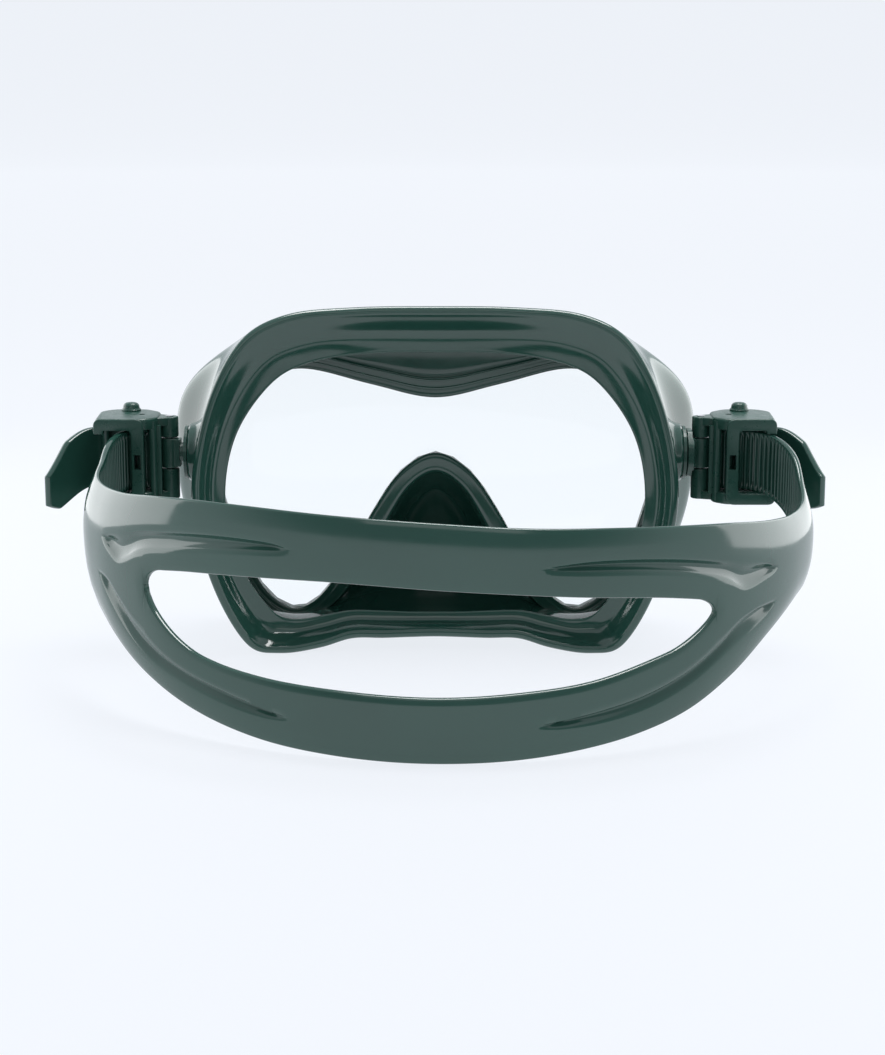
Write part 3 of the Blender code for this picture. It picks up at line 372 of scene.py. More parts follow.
def new_piece(name, mesh, look, body, sharp=None):
    """A silicone piece on a body, or on none if no body is given."""
    obj = loose_object(name, mesh)
    mesh.materials.append(look)
    mesh.shade_smooth()
    if sharp:
        mesh.set_sharp_from_angle(angle=math.radians(sharp))
    if body:
        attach(obj, body)
    return obj


def join_rings(shape, rings):
    """Faces from each ring of vertices to the next. A ring of one vertex is the tip of a fan."""
    for a, b in zip(rings, rings[1:]):
        count = max(len(a), len(b))
        for j in range(count):
            k = (j + 1) % count
            corners = (a[j % len(a)], a[k % len(a)], b[k % len(b)], b[j % len(b)])
            shape.faces.new(list(dict.fromkeys(corners)))


def finish_mesh(name, shape, closed=True):
    """The shape as a mesh; a closed one has its faces turned outwards."""
    if closed:
        bmesh.ops.recalc_face_normals(shape, faces=shape.faces)
    mesh = bpy.data.meshes.new(name)
    shape.to_mesh(mesh)
    shape.free()
    return mesh


def ring_mesh(name, rings, looped=False):
    """A closed body from rings of points: looped from the last ring to the first, or else capped."""
    shape = bmesh.new()
    rows = [[shape.verts.new(place(point)) for point in ring] for ring in rings]
    join_rings(shape, rows + rows[:1] if looped else rows)
    for row in (rows[0], rows[-1]):
        if len(row) > 1 and not looped:
            shape.faces.new(row)
    return finish_mesh(name, shape)


def turned_rings(profile, at, steps):
    """A profile of (radius, height) turned about an axis. at(across, up, height) gives each point."""
    rings = []
    for radius, height in profile:
        turns = [2 * math.pi * i / steps for i in range(steps)] if radius else [0.0]
        rings.append([at(radius * math.cos(a), radius * math.sin(a), height) for a in turns])
    return rings


def apply_modifiers(obj):
    bpy.context.view_layer.update()
    mesh = bpy.data.meshes.new_from_object(obj.evaluated_get(bpy.context.evaluated_depsgraph_get()))
    obj.modifiers.clear()
    obj.data = mesh


def subdivide(obj):
    modifier = obj.modifiers.new("subdivision", "SUBSURF")
    modifier.levels = modifier.render_levels = 1
    apply_modifiers(obj)
    obj.data.shade_smooth()


def spline_points(keys, parts_each, ends=None):
    """Points on the Catmull-Rom curve through keys; ends gives the points beyond the first and the last."""
    keys = [Vector(key) for key in keys]
    first, last = ends if ends else (keys[0] * 2 - keys[1], keys[-1] * 2 - keys[-2])
    path = [Vector(first)] + keys + [Vector(last)]
    points = []
    for i in range(1, len(path) - 2):
        a, b, c, d = path[i - 1:i + 3]
        for step in range(parts_each):
            t = step / parts_each
            points.append(0.5 * (2 * b + (c - a) * t + (2 * a - 5 * b + 4 * c - d) * t * t
                                 + (3 * b - a - 3 * c + d) * t ** 3))
    return points + [keys[-1]]


# ---------------------------------------------------------------- skirt

def mirror_point(point):
    return Vector((-point[0], point[1], point[2]))


def whole_ring(half):
    """A smooth closed ring from half a ring of stations (x, y, z), the other half its mirror image."""
    half = [Vector(point) for point in half]
    ends = (mirror_point(half[1]), mirror_point(half[-2]))
    right = spline_points(half, SKIRT_COLUMNS, ends)
    return right + [mirror_point(point) for point in reversed(right[1:-1])]


def at_depth(outline, depth):
    """An outline (x, z) as points (x, y, z), with one depth or one for each station."""
    depths = depth if isinstance(depth, list) else [depth] * STATIONS
    return [Vector((x, y, z)) for (x, z), y in zip(outline, depths)]


def between(a, b, share):
    return [p.lerp(q, share) for p, q in zip(a, b)]


def rim_ring(share, depth):
    """A ring in the lens rim: share 0 is the window's edge and 1 the rim's outer edge."""
    shares = share if isinstance(share, list) else [share] * STATIONS
    return [p.lerp(q, part) for p, q, part in zip(at_depth(WINDOW, depth), at_depth(RIM, depth), shares)]


def by_nose(elsewhere, nose):
    """One value for each station: elsewhere round the lens, and another where the nose pocket opens."""
    count = len(POCKET_NOSE) - 1
    return [elsewhere] * (STATIONS - count - 1) + [(elsewhere + nose) / 2] + [nose] * count


def outer_skin():
    """Key rings of the skirt's outer face, from the flange's edge to the front of the rim."""
    edge = at_depth(FLANGE_EDGE, FLANGE_Y)
    bulge = at_depth(BULGE, BULGE_Y)
    rim = at_depth(RIM, RIM_FRONT_Y)
    neck = [p.lerp(q, share) for p, q, share in zip(edge, bulge, NECK_SHARE)]
    for point in neck:
        point.y = NECK_Y
    shoulder = between(bulge, rim, 0.34)
    front = between(bulge, rim, 0.9)
    for point in shoulder:
        point.y = SHOULDER_Y
    for point in front:
        point.y = FRONT_Y
    first = STATIONS - len(POCKET_NOSE)
    for i, (nose, bridge) in enumerate(zip(POCKET_NOSE, POCKET_BRIDGE)):
        shoulder[first + i] = Vector(nose)
        front[first + i] = Vector(bridge)
    return [edge, neck, bulge, shoulder, front, rim]


def inset(rings, distance):
    """The same grid of rings, moved inwards off its face by the distance."""
    moved = []
    count = len(rings[0])
    for i, ring in enumerate(rings):
        before, after = rings[max(i - 1, 0)], rings[min(i + 1, len(rings) - 1)]
        line = []
        for j, point in enumerate(ring):
            along = after[j] - before[j]
            around = ring[(j + 1) % count] - ring[j - 1]
            line.append(point + along.cross(around).normalized() * distance)
        moved.append(line)
    return moved


def flange_rings():
    """The face flange from under its rolled bead, over the crease and hollow band, to the back of its lip."""
    edge = whole_ring(at_depth(FLANGE_EDGE, FLANGE_Y))
    opening = whole_ring(at_depth(OPENING, [y + 7.5 for y in FLANGE_Y]))
    profile = []  # (share of the flange's width, millimetres in from its edge, millimetres up off its face)
    for degrees in (-75, -40, -5, 25, 50, 75, 95, 112):
        turn = math.radians(degrees)
        across, up = BEAD_RADIUS * math.cos(turn), BEAD_RADIUS * math.sin(turn)
        profile.append((0, BEAD_PLACE[0] - across, BEAD_PLACE[1] + up))
    profile += FLANGE_PROFILE
    rings = []
    for share, across, up in profile:
        ring = []
        for e, o in zip(edge, opening):
            along = (o - e).normalized()
            off = (Vector((0, -1, 0)) + along * along.y).normalized()
            ring.append(e + along * (share * (o - e).length + across) + off * up)
        rings.append(ring)
    return rings


def make_skirt(look):
    keys = [whole_ring(ring) for ring in outer_skin()]
    columns = [spline_points(line, SKIRT_ROWS) for line in zip(*keys)]
    outer = [list(ring) for ring in zip(*columns)]
    inner = inset(outer, WALL)
    neck_row, shoulder_row, front_row = SKIRT_ROWS - 1, 3 * SKIRT_ROWS, 4 * SKIRT_ROWS
    mouth = whole_ring(rim_ring(by_nose(0.78, 1.4), by_nose(RIM_BACK_Y - 1.0, 43.0)))
    nose_share = [point.x for point in whole_ring(at_depth([(value, 0) for value in by_nose(0, 1)], 0))]
    ahead = [p.lerp(q, 0.5).lerp(far, min(abs(share), 1))
             for p, q, far, share in zip(inner[shoulder_row], mouth, inner[front_row], nose_share)]
    back_lip = [whole_ring(rim_ring(by_nose(*key[:2]), by_nose(*key[2:]))) for key in BACK_LIP]
    channel_and_front = [whole_ring(rim_ring(*key)) for key in CHANNEL_BACK + FRONT_LIP]
    inside = inner[neck_row:shoulder_row + 1] + [ahead, mouth]
    rings = outer[1:] + (inside + back_lip + channel_and_front)[::-1] + flange_rings()[::-1]
    mesh = ring_mesh("silicone_skirt", rings, looped=True)
    skirt = new_piece("silicone_skirt", mesh, look, "mask")
    subdivide(skirt)
    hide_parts("skirt")
    return skirt


def turned_mesh(name, profile, side, steps=64):
    """A profile of (radius, x) turned about the swivel's axis."""
    return ring_mesh(name, turned_rings(profile, lambda u, v, x: (side * x, HUB_Y + u, HUB_Z + v), steps))


def make_hub_boss(name, side, look):
    return new_piece(name, turned_mesh(name, BOSS_PROFILE, side), look, "mask", sharp=50)


# ---------------------------------------------------------------- buckles

JOIN, CUT = "UNION", "DIFFERENCE"


def rounded_corners(outline, radius, steps=6):
    """The outline with each corner turned into a curve that starts the radius away from it."""
    points = []
    for i, corner in enumerate(outline):
        corner = Vector(corner)
        before, after = Vector(outline[i - 1]) - corner, Vector(outline[(i + 1) % len(outline)]) - corner
        reach = min(radius, before.length * 0.49, after.length * 0.49)
        start, end = corner + before.normalized() * reach, corner + after.normalized() * reach
        for step in range(steps + 1):
            t = step / steps
            points.append(start * (1 - t) ** 2 + corner * 2 * t * (1 - t) + end * t * t)
    return points


def prism(name, outline, span, side, edge, upright=True):
    """An outline made solid and its edges rounded: (x, y) raised over z, or (x, z) run along y."""
    shape = bmesh.new()
    ends = []
    for level in span:
        ends.append([shape.verts.new(place((side * a, b, level) if upright else (side * a, level, b)))
                     for a, b in outline])
    shape.faces.new(ends[0])
    shape.faces.new(ends[1])
    join_rings(shape, ends)
    obj = loose_object(name, finish_mesh(name, shape))
    if edge:
        bevel = obj.modifiers.new("rounded", "BEVEL")
        bevel.width = edge * MM
        bevel.segments = 3
        bevel.limit_method = "ANGLE"
        bevel.angle_limit = math.radians(50)
        apply_modifiers(obj)
    return obj


def block(name, x, y, z, side, radius, edge):
    outline = rounded_corners([(x[0], y[0]), (x[1], y[0]), (x[1], y[1]), (x[0], y[1])], radius)
    return prism(name, outline, z, side, edge)


def post(name, radius, centre, z, side, edge=0.0, steps=40):
    turns = [2 * math.pi * i / steps for i in range(steps)]
    outline = [(centre[0] + radius * math.cos(a), centre[1] + radius * math.sin(a)) for a in turns]
    return prism(name, outline, z, side, edge)


def combine(base, tools):
    """Joins or cuts the base by each (tool, operation) in turn, and removes the tools."""
    for tool, operation in tools:
        modifier = base.modifiers.new(tool.name, "BOOLEAN")
        modifier.operation = operation
        modifier.solver = "EXACT"
        modifier.object = tool
    apply_modifiers(base)
    for tool, _ in tools:
        bpy.data.objects.remove(tool, do_unlink=True)
    shape = bmesh.new()
    shape.from_mesh(base.data)
    bmesh.ops.remove_doubles(shape, verts=shape.verts, dist=0.000004)
    bmesh.ops.dissolve_degenerate(shape, edges=shape.edges, dist=0.000004)
    shape.to_mesh(base.data)
    shape.free()
    return base


def finish_part(obj, look, body, node):
    """Gives a plastic piece its look and body, in place of the frame's node."""
    obj.data.materials.clear()
    obj.data.materials.append(look)
    obj.data.shade_smooth()
    obj.data.set_sharp_from_angle(angle=math.radians(38))
    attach(obj, body)
    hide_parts(node)
    return obj


def hoop_outline():
    """The front hoop in (x, z): a full inner leg, two bars, and two short hooked ends on the outer side."""
    (left, right), low, high = HOOP_X, PLATE_Z[0][0], PLATE_Z[1][1]
    inner, hook = left + HOOP_LEG, right - 3.0
    outer = rounded_corners([(right, HOOP_HOOKS[1]), (right, low), (left, low), (left, high), (right, high),
                             (right, HOOP_HOOKS[0])], 2.8, 8)
    inside = rounded_corners([(hook, HOOP_HOOKS[0]), (hook, high - HOOP_BAR), (inner, high - HOOP_BAR),
                              (inner, low + HOOP_BAR), (hook, low + HOOP_BAR), (hook, HOOP_HOOKS[1])], 1.4, 6)
    return outer[9:-9] + [(right, HOOP_HOOKS[0]), (hook, HOOP_HOOKS[0])] + inside[7:-7] \
        + [(hook, HOOP_HOOKS[1]), (right, HOOP_HOOKS[1])]


def make_pin_cap(name, side, steps=40):
    """The round cap on the buckle's top plate, over the lever's pin."""
    (x, y), foot = LEVER_PIN, PLATE_Z[1][1]
    rings = turned_rings(PIN_CAP, lambda u, v, height: (side * (x + u), y + v, foot + height), steps)
    return loose_object(name, ring_mesh(name, rings))


def make_buckle_body(word, side, look):
    """The buckle's frame: two plates, the windowed hoop in front, two posts, and lugs round the yaw pin."""
    name = f"{word}_buckle_body"
    low, high = PLATE_Z[0][0], PLATE_Z[1][1]
    middle = (low + high) / 2
    window_x, window_y = (HOOP_X[0] + 0.9, HOOP_X[0] + HOOP_LEG - 0.9), (HOOP_Y[0] - 2, HOOP_Y[1] + 2)
    wall_z = (PLATE_Z[0][1] - 1, PLATE_Z[1][0] + 1)
    outline = rounded_corners(PLATE_OUTLINE, 2.2)
    body = prism(name, outline, PLATE_Z[1], side, 0.8)
    tools = [(prism(f"{name}_lower", outline, PLATE_Z[0], side, 0.8), JOIN),
             (prism(f"{name}_hoop", hoop_outline(), HOOP_Y, side, 0.7, upright=False), JOIN),
             (block(f"{name}_window", window_x, window_y, (middle - 2.2, middle + 2.2), side, 0.3, 0.0), CUT),
             (block(f"{name}_web", WEB_X, WEB_Y, wall_z, side, 0.2, 0.0), JOIN),
             (block(f"{name}_shield", SHIELD_X, SHIELD_Y, wall_z, side, 0.4, 0.0), JOIN)]
    for i, centre in enumerate(POSTS):
        tools.append((post(f"{name}_post_{i}", POST_RADIUS, centre, (low + 1, high - 1), side), JOIN))
    lug = [(PIN_X, HUB_Y - KNUCKLE_RADIUS), (PIN_X, HUB_Y + KNUCKLE_RADIUS), (85.5, HUB_Y + 5.4),
           (85.5, HUB_Y - 4.6)]
    for end, plate_z, lug_z in (("top", PLATE_Z[1], (HUB_Z + KNUCKLE_HALF + 0.3, high - 0.5)),
                                ("foot", PLATE_Z[0], (low + 0.5, HUB_Z - KNUCKLE_HALF - 0.3))):
        arm_z = (plate_z[0] + 0.5, plate_z[1] - 0.5)
        tools.append((prism(f"{name}_arm_{end}", lug, arm_z, side, 0.4), JOIN))
        tools.append((post(f"{name}_lug_{end}", KNUCKLE_RADIUS, (PIN_X, HUB_Y), lug_z, side, 0.4), JOIN))
    tools.append((make_pin_cap(f"{name}_cap", side), JOIN))
    for hole, centre, radius, rise in (("yaw", (PIN_X, HUB_Y), YAW_PIN_RADIUS, 2.0),
                                       ("axle", ROLLER, AXLE_RADIUS, 2.0),
                                       ("lever", LEVER_PIN, LEVER_PIN_RADIUS, PIN_CAP_HOLE)):
        tools.append((post(f"{name}_{hole}_hole", radius + FIT, centre, (low - 2, high + rise), side), CUT))
    combine(body, tools)
    return finish_part(body, look, f"{word}_buckle", f"{word}_buckle_frame")


def make_swivel(word, side, look):
    """The octagonal swivel disc with its raised ring, its neck and the knuckle on the yaw pin."""
    name = f"{word}_swivel"
    rings = []
    for x, radius in SWIVEL_DISC:
        turns = [math.pi * (i + 0.5) / 4 for i in range(8)]
        corners = rounded_corners([(radius * math.cos(a), radius * math.sin(a)) for a in turns], 1.0, 4)
        rings.append([(side * x, HUB_Y + y, HUB_Z + z) for y, z in corners])
    disc = loose_object(name, ring_mesh(name, rings))
    ring = loose_object(f"{name}_ring", turned_mesh(f"{name}_ring", SWIVEL_RING, side))
    knuckle_z = (HUB_Z - KNUCKLE_HALF, HUB_Z + KNUCKLE_HALF)
    neck = block(f"{name}_neck", (HUB_X[1] - 0.3, PIN_X - 0.6), (HUB_Y - 2.3, HUB_Y + 2.3),
                 (knuckle_z[0] + 0.4, knuckle_z[1] - 0.4), side, 0.1, 0.5)
    barrel = post(f"{name}_barrel", KNUCKLE_RADIUS, (PIN_X, HUB_Y), knuckle_z, side, 0.45)
    room_x, room_y = (HUB_X[1] + 0.1, HUB_X[1] + 4), (HUB_Y - 12, HUB_Y + 12)
    over = block(f"{name}_over", room_x, room_y, (knuckle_z[1] + 0.2, HUB_Z + 12), side, 0.1, 0.0)
    under = block(f"{name}_under", room_x, room_y, (HUB_Z - 12, knuckle_z[0] - 0.2), side, 0.1, 0.0)
    hole = post(f"{name}_hole", YAW_PIN_RADIUS + FIT, (PIN_X, HUB_Y), (HUB_Z - 10, HUB_Z + 10), side)
    bore = loose_object(f"{name}_bore", turned_mesh(f"{name}_bore", STUD_BORE, side))
    combine(disc, [(ring, JOIN), (over, CUT), (under, CUT), (neck, JOIN), (barrel, JOIN), (bore, CUT),
                   (hole, CUT)])
    return finish_part(disc, look, "strap_yoke", f"{word}_swivel_hub")


def make_thumb_lever(word, side, look):
    """The release lever behind the strap's tail, with finger ridges, its pivot knuckle and its pawl."""
    name = f"{word}_thumb_lever"
    z = (STRAP_Z[0] + 0.3, STRAP_Z[1] - 0.3)
    pin_x, pin_y = LEVER_PIN
    lever = block(name, LEVER_X, LEVER_Y, z, side, 1.3, 0.7)
    tools = []
    for i in range(LEVER_GRIPS):
        x = GRIP_START_X + GRIP_PITCH * i
        grip_z = (z[0] + 2.4, z[1] - 2.4)
        tools.append((post(f"{name}_grip_{i}", GRIP_RADIUS, (x, LEVER_Y[1]), grip_z, side, 0.25, 20), JOIN))
    spring_z = (SPRING_Z[0] - 0.6, SPRING_Z[1] + 0.6)
    pawl_x, pawl_y = (PAWL_X - 0.8, PAWL_X + 0.8), (PAWL_TIP_Y, LEVER_Y[0] + 1)
    mouth_x, mouth_y = (pin_x - 2.4, pin_x + 2.4), (pin_y - 4, pin_y)
    tools += [(post(f"{name}_knuckle", LEVER_KNUCKLE, LEVER_PIN, (z[0] + 0.03, z[1] - 0.03), side), JOIN),
              (block(f"{name}_pawl", pawl_x, pawl_y, (z[0] + 1, z[1] - 1), side, 0.5, 0.2), JOIN),
              (post(f"{name}_pocket", SPRING_RADIUS + 0.6, LEVER_PIN, spring_z, side), CUT),
              (block(f"{name}_mouth", mouth_x, mouth_y, spring_z, side, 0.2, 0.0), CUT),
              (post(f"{name}_hole", LEVER_PIN_RADIUS + FIT, LEVER_PIN, (z[0] - 2, z[1] + 2), side), CUT)]
    combine(lever, tools)
    return finish_part(lever, look, f"{word}_release_lever", f"{word}_release_lever")


# ---------------------------------------------------------------- strap

def smooth_step(t):
    t = np.clip(t, 0.0, 1.0)
    return t * t * (3 - 2 * t)


def smooth_curve(keys, x):
    """Heights at x on the smooth curve through keys (x, height)."""
    along, height = np.array(sorted(keys), float).T
    slope = np.gradient(height, along)
    i = np.clip(np.searchsorted(along, x) - 1, 0, len(along) - 2)
    width = along[i + 1] - along[i]
    t = np.clip((x - along[i]) / width, 0, 1)
    return (height[i] * (1 + 2 * t) * (1 - t) ** 2 + slope[i] * width * t * (1 - t) ** 2
            + height[i + 1] * t * t * (3 - 2 * t) + slope[i + 1] * width * t * t * (t - 1))


class StrapPath:
    """The strap's middle line on one side, drawn as the right one, from the loop's back to the tail's end."""

    def __init__(self, side):
        self.side = side
        seam = math.acos(-SEAM_Y / LOOP_Y)
        turn = ROLLER_RADIUS + WRAP_GAP + STRAP / 2
        x, y = ROLLER
        reach, start = side * LOOP_SHIFT + LOOP_X * math.sin(seam), x + 1.5
        loop = [(side * LOOP_SHIFT + LOOP_X * math.sin(a), -LOOP_Y * math.cos(a))
                for a in np.linspace(0, seam, 10)]
        arm = [(start + (reach - start) * share, depth) for share, depth in ARM_BEND[1:]]
        arm.append((start, y - turn))
        wrap = [(x - turn * math.sin(a), y - turn * math.cos(a)) for a in np.linspace(0, math.pi, 19)]
        tail = [(x + 2, y + turn)] + TAIL
        behind = (2 * side * LOOP_SHIFT - loop[1][0], loop[1][1], 0)
        lay = spline_points([(*p, 0) for p in loop + arm], PATH_PARTS, (behind, (*wrap[1], 0)))
        far = spline_points([(*p, 0) for p in tail], PATH_PARTS, ((*wrap[-2], 0), TAIL_AIM))
        runs = [np.array([p[:2] for p in lay]), np.array(wrap), np.array([p[:2] for p in far])]
        self.points = np.vstack(runs)
        steps = np.linalg.norm(np.diff(self.points, axis=0), axis=1)
        keep = np.concatenate(([True], steps > 0.001))
        self.points = self.points[keep]
        self.length = np.concatenate(([0], np.cumsum(np.linalg.norm(np.diff(self.points, axis=0), axis=1))))
        in_loop = self.points[:, 1] < SEAM_Y + 0.01
        in_loop[np.argmin(in_loop):] = False
        self.angles = np.degrees(np.arctan2((self.points[:, 0] - side * LOOP_SHIFT) / LOOP_X,
                                            -self.points[:, 1] / LOOP_Y))[in_loop]
        self.loop_length = self.length[:len(self.angles)]
        self.seam = self.loop_length[-1]
        self.buckle = self.at_point(runs[0][-1])
        self.wrapped = self.at_point(runs[1][-1])
        self.end = self.length[-1]

    def at_point(self, point):
        return self.length[np.argmin(np.linalg.norm(self.points - point, axis=1))]

    def plan(self, s):
        """Places and outward directions at distances s along the path."""
        def at(where):
            return np.stack([np.interp(where, self.length, self.points[:, i]) for i in (0, 1)], axis=-1)
        along = at(np.minimum(s + 0.4, self.end)) - at(np.maximum(s - 0.4, 0))
        start = s < 0.4
        along[start] = (1.0, 0.0)
        along /= np.linalg.norm(along, axis=-1, keepdims=True)
        return at(s), np.stack([along[:, 1], -along[:, 0]], axis=-1)

    def angle(self, s):
        """Signed degrees round the loop at distances s, held at the seam beyond it."""
        return self.side * np.interp(s, self.loop_length, self.angles)

    def from_angle(self, degrees):
        return np.interp(abs(degrees), self.angles, self.loop_length)


def along_strap(path, panel, arm, s):
    """Heights at s of a line that the panel's keys (degrees, height) and the arm's (share, height) give."""
    mine = [(path.from_angle(a), z) for a, z in panel if a * path.side > 0]
    other = [(-path.from_angle(a), z) for a, z in panel if a * path.side < 0]
    centre = [(0.0, z) for a, z in panel if a == 0]
    beyond = [(path.seam + (path.buckle - path.seam) * share, z) for share, z in arm]
    return smooth_curve(other + centre + mine + beyond, s)


def strap_columns(path, window_end):
    """Distances along the strap, close together at the window's end, on the ribs and at the tail's end."""
    near = np.array([0.02, 0.08, 0.18, 0.32, 0.5, 0.75, 1.05, 1.45, 1.95, 2.6, 3.4, 4.4, 5.6])
    ribs_from = path.seam - RIBS_EARLY
    marks = [np.arange(0, window_end - 6, 1.3), window_end - near[::-1], [window_end], window_end + near,
             np.arange(window_end + 6.4, ribs_from, 0.9), np.arange(ribs_from, path.end - 1.3, RIB_COLUMN),
             path.end - np.array([1.1, 0.75, 0.45, 0.22, 0.07, 0.0])]
    return np.concatenate(marks), ribs_from


def window_lines(path, s):
    """Heights of the window's lower and upper edge at s; they meet at its end and beyond it."""
    angle, height, upper_round, lower_round = WINDOW_ENDS[path.side]
    inside = np.clip(path.from_angle(angle) - s, 0, None)
    top = along_strap(path, WINDOW_TOP, [], s)
    low = along_strap(path, WINDOW_LOW, [], s)
    upper = np.sqrt(1 - (1 - np.clip(inside / upper_round, 0, 1)) ** 2)
    lower = np.sqrt(1 - (1 - np.clip(inside / lower_round, 0, 1)) ** 2)
    return height + (low - height) * lower, height + (top - height) * upper


def spread(a, b, count):
    return [a + (b - a) * i / count for i in range(1, count)]


def edge_cosine(s, z):
    slope = np.gradient(z, s)
    lean = np.clip(1 / np.sqrt(1 + slope ** 2), 0.35, 1)
    return np.convolve(np.pad(lean, 2, mode="edge"), np.ones(5) / 5, mode="valid")


def corner_cut(t):
    """A straight cut from nothing at 0 to all at 1, with its start rounded."""
    return np.where(t < 0.1, np.clip(t + 0.1, 0, 1) ** 2 / 0.4, t) * (t > -0.1)


def groove_depth(angle, z, line, other, kind):
    """How far a groove between its crisp line and its other, soft one cuts in."""
    deepest = GROOVE_DEEPEST[kind]
    fade = np.zeros_like(angle)
    for start, end in GROOVE_SPANS[kind]:
        inside = np.minimum(angle - start, end - angle)
        fade = np.maximum(fade, smooth_step(inside / 3.0))
    share = np.clip((z - line) / (other - line), 0, 1)
    wall = np.clip(share / deepest, 0, 1)
    rise = np.clip((share - deepest) / (1 - deepest), 0, 1)
    across = np.where(share < deepest, wall * (1.6 - 0.6 * wall), 1 - smooth_step(rise))
    return GROOVE_DEPTH * fade * across * smooth_step((np.abs(other - line) - 0.3) / 2.4)


def crown_fall(distance, kind):
    depth, width = CROWNS[kind]
    return depth * (1 - np.clip(distance / width, 0, 1)) ** 2


def make_strap_half(name, side, look):
    """Half of the head panel with its window and grooves, the ribbed strap end, its wrap and its tail."""
    path = StrapPath(side)
    angle_end, end_height = WINDOW_ENDS[side][:2]
    window_end = path.from_angle(angle_end)
    s, ribs_from = strap_columns(path, window_end)
    angle = path.angle(s)
    arm_share = smooth_step((s - path.seam) / (path.buckle - path.seam))
    tail_share = np.clip((s - path.wrapped) / (path.end - path.wrapped), 0, 1)
    drop = TAIL_DROP * smooth_step((tail_share - TAIL_LEVEL) / (1 - TAIL_LEVEL))
    low_cut, high_cut = [depth * corner_cut((s - path.end) / length + 1) for length, depth in TAIL_CHAMFERS]
    low = along_strap(path, LOW_EDGE, ARM_LOW[side], s) - drop + low_cut
    high = along_strap(path, TOP_EDGE, ARM_TOP[side], s) - drop - high_cut
    window_low, window_high = window_lines(path, s)
    beyond = s > window_end
    middle_line = along_strap(path, [key for key in MIDDLE if key[0] * side > 0], [], s)

    def line(keys, share):
        """A guide line: its own on the panel, and a share of the strap's width on the strap end."""
        return along_strap(path, keys, [], s) * (1 - arm_share) + (low + (high - low) * share) * arm_share

    middle = middle_line * (1 - arm_share) + (low + high) / 2 * arm_share
    window_low = np.where(beyond, middle, window_low)
    window_high = np.where(beyond, middle, window_high)
    guides = (LOWER_GROOVE_OUT, LOWER_GROOVE_IN, UPPER_GROOVE_LOW, UPPER_GROOVE_TOP)
    groove_1, groove_2, groove_3, groove_4 = [line(keys, share) for keys, share in zip(guides, ARM_GROOVES)]
    low_cos, high_cos = edge_cosine(s, low), edge_cosine(s, high)
    win_low_cos, win_high_cos = edge_cosine(s, window_low), edge_cosine(s, window_high)

    rows = [low + r / low_cos for r in ROUND_ROWS]
    rows += spread(rows[-1], groove_1, 4) + [groove_1] + spread(groove_1, groove_2, 7)
    rows += [groove_2]
    under = [window_low - r / win_low_cos for r in reversed(ROUND_ROWS)]
    rows += spread(rows[-1], under[0], 4) + under
    gap_row = len(rows) - 1
    over = [window_high + r / win_high_cos for r in ROUND_ROWS]
    rows += over + spread(over[-1], groove_3, 4) + [groove_3] + spread(groove_3, groove_4, 9) + [groove_4]
    top = [high - r / high_cos for r in reversed(ROUND_ROWS)]
    rows += spread(groove_4, top[0], 6) + top
    z = np.array(rows)

    window = np.concatenate([np.stack([s, line_z], axis=-1)[~beyond] for line_z in (window_low, window_high)]
                            + [np.array([[window_end, end_height]])])
    to_window = np.full(z.shape, 99.0)
    for column in np.nonzero(s < window_end + 4)[0]:
        gap = np.hypot(window[:, 0, None] - s[column], window[:, 1, None] - z[None, :, column])
        to_window[:, column] = gap.min(axis=0)
    to_window[gap_row:gap_row + 2, ~beyond] = 0
    to_low, to_high = (z - low) * low_cos, (high - z) * high_cos
    to_edge = np.minimum(np.minimum(to_low, to_high), np.minimum(to_window, path.end - s))
    crown = crown_fall(to_high, "top") + crown_fall(to_low, "low") + crown_fall(to_window, "window")
    crown = crown * (1 - 0.95 * arm_share)
    half = (STRAP - crown) / 2 * np.sqrt(1 - (1 - np.clip(to_edge / EDGE_ROUND, 0, 1)) ** 2)
    half[np.array([0, -1])] = 0
    half[:, -1] = 0

    cut = groove_depth(angle, z, groove_2, groove_1, "lower")
    cut += groove_depth(angle, z, groove_3, groove_4, "upper")
    outside = np.maximum(half - cut, -0.3 * half)
    rib = smooth_step(RIB_BIAS - RIB_SWING * np.cos(2 * math.pi * (s - ribs_from) / RIB_PITCH))
    on_ribs = smooth_step((s - ribs_from) / 3) * (1 - smooth_step((s - path.end + RIBS_STOP) / 2))
    clear = smooth_step((np.minimum(z - low, high - z) - RIB_MARGIN + 0.6) / 0.6)
    inside = half - RIB_HEIGHT * rib * on_ribs * clear

    down = (high - z) / (high - low)
    bulge = 1 - (1 - np.clip(down / 0.5, 0, 1)) ** 2 - 0.5 * np.clip(down / 0.5 - 1, 0, 1) ** 2
    lean = (FLARES[side] * bulge * smooth_step((np.abs(angle) - 30) / 43)
            * (1 - smooth_step((s - path.seam) / (LEAN_END * (path.buckle - path.seam)))))
    spot, out = path.plan(s)
    skins = []
    for offset in (outside - crown / 2, -inside - crown / 2):
        x = side * (spot[:, 0] + out[:, 0] * offset + lean)
        skins.append(np.stack([x, spot[:, 1] + out[:, 1] * offset, z], axis=-1))

    shape = bmesh.new()
    verts = [[[shape.verts.new(place(p)) for p in row] for row in skin] for skin in skins]
    for r in range(len(rows) - 1):
        if r == gap_row:
            continue
        for c in range(len(s) - 1):
            for skin in verts:
                shape.faces.new((skin[r][c], skin[r][c + 1], skin[r + 1][c + 1], skin[r + 1][c]))
        shape.faces.new((verts[0][r][0], verts[0][r + 1][0], verts[1][r + 1][0], verts[1][r][0]))
    bmesh.ops.remove_doubles(shape, verts=shape.verts, dist=0.000002)
    bmesh.ops.dissolve_degenerate(shape, edges=shape.edges, dist=0.000001)
    strap = new_piece(name, finish_mesh(name, shape), look, None, sharp=70)
    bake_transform(strap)
    return strap


# ---------------------------------------------------------------- stage

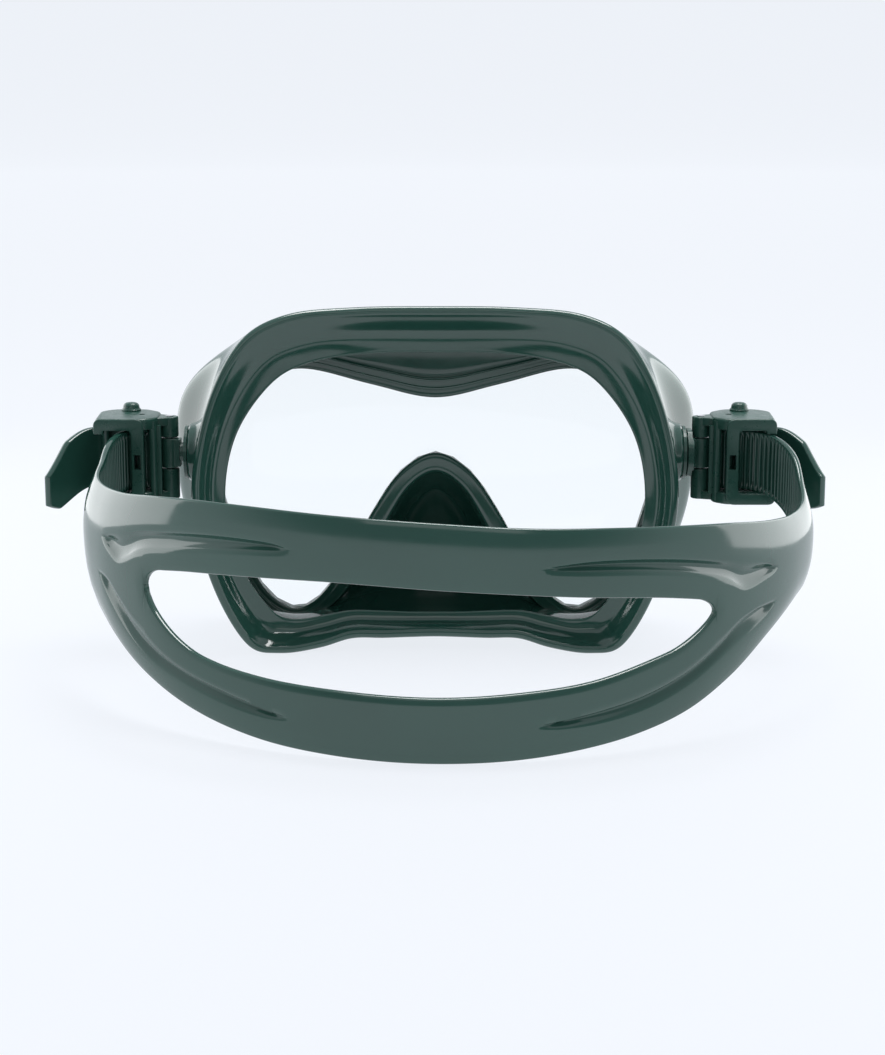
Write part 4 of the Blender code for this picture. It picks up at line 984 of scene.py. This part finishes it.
def make_camera():
    data = bpy.data.cameras.new("camera")
    data.lens = FOCAL_LENGTH
    data.sensor_width = 36
    camera = bpy.data.objects.new("camera", data)
    bpy.context.scene.collection.objects.link(camera)
    camera.location = place(CAMERA_PLACE)
    camera.rotation_euler = (math.radians(90 - CAMERA_DROOP), 0, 0)
    bpy.context.scene.camera = camera


def stage_material():
    """A pale studio sweep: mostly its own even light, with a soft matt surface that takes faint shadows."""
    made, nodes, links, shader = new_material("studio_sweep")
    mottle = add_noise(nodes, links, 3, 2.0)
    links.new(add_tint(nodes, links, mottle, SWEEP, 0.01), shader.inputs["Base Color"])
    shader.inputs["Roughness"].default_value = 0.7
    shader.inputs["Specular IOR Level"].default_value = 0.1
    shader.inputs["Emission Color"].default_value = (*BACKDROP, 1)
    place_xyz = nodes.new("ShaderNodeSeparateXYZ")
    links.new(nodes.new("ShaderNodeTexCoord").outputs["Object"], place_xyz.inputs["Vector"])
    links.new(add_fade(nodes, links, place_xyz.outputs["Y"], SWEEP_FADE, SWEEP_GLOW),
              shader.inputs["Emission Strength"])
    return made


def make_sweep():
    """A round floor that curves up into a wall on every side, in metres."""
    floor, curve, top = 3.0, 1.2, 4.0
    line = [(0.0, 0.0), (floor, 0.0)]
    for a in np.linspace(0, math.pi / 2, 17)[1:]:
        line.append((floor + curve * math.sin(a), curve - curve * math.cos(a)))
    line.append((floor + curve, top))
    shape = bmesh.new()
    rings = turned_rings(line, lambda x, y, z: shape.verts.new((x, y, z)), 96)
    join_rings(shape, rings[::-1])
    mesh = finish_mesh("studio_sweep", shape, closed=False)
    mesh.materials.append(stage_material())
    mesh.shade_smooth()
    loose_object("studio_sweep", mesh)


def add_light(name, place_at, aim, size, power):
    data = bpy.data.lights.new(name, "AREA")
    data.shape = "RECTANGLE"
    data.size, data.size_y = size
    data.energy = power
    light = bpy.data.objects.new(name, data)
    bpy.context.scene.collection.objects.link(light)
    light.location = place_at
    light.rotation_euler = (Vector(aim) - Vector(place_at)).to_track_quat("-Z", "Y").to_euler()
    light.visible_camera = False


def make_lights():
    world = bpy.data.worlds.new("studio")
    world.use_nodes = True
    nodes, links = world.node_tree.nodes, world.node_tree.links
    nodes["Background"].inputs["Color"].default_value = (0.86, 0.90, 0.96, 1)
    height = nodes.new("ShaderNodeSeparateXYZ")
    links.new(nodes.new("ShaderNodeTexCoord").outputs["Generated"], height.inputs["Vector"])
    links.new(add_fade(nodes, links, height.outputs["Z"], WORLD_FADE, WORLD_GLOW),
              nodes["Background"].inputs["Strength"])
    bpy.context.scene.world = world
    middle = (0, 0, 0.05)
    add_light("overhead_softbox", (0.1, 0.15, 0.85), middle, (0.5, 0.32), 5.0)
    for side, word in ((-1, "left"), (1, "right")):
        add_light(f"{word}_panel", (side * 0.36, 0.16, 0.13), (side * 0.1, 0.02, 0.07), (0.44, 0.26), 0.7)
    add_light("front_fill", (0, -1.6, 0.9), middle, (1.6, 0.7), 2.8)


# ---------------------------------------------------------------- assembly

def dress_frame(plastic, steel, glass):
    """Gives each CAD node that stays in view its finish."""
    finishes = {"lens": glass, "lens_frame": plastic}
    for word in ("left", "right"):
        for node in ("side_post", "roller"):
            finishes[f"{word}_{node}"] = plastic
        for node in ("yaw_pin", "roller_axle", "lever_pin", "lever_spring"):
            finishes[f"{word}_{node}"] = steel
    for node, finish in finishes.items():
        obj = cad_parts[node]
        obj.data.materials.clear()
        obj.data.materials.append(finish)


def build():
    make_camera()
    make_sweep()
    make_lights()
    silicone, plastic = silicone_material(), plastic_material()
    dress_frame(plastic, steel_material(), glass_material())
    make_skirt(silicone)
    for side, word in ((1, "right"), (-1, "left")):
        make_hub_boss(f"{word}_hub_boss", side, silicone)
        make_buckle_body(word, side, plastic)
        make_swivel(word, side, plastic)
        make_thumb_lever(word, side, plastic)
        half = make_strap_half(f"{word}_strap", side, silicone)
        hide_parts(f"{word}_strap_end", "head_strap")
    bpy.context.scene.view_settings.view_transform = "Standard"


build()
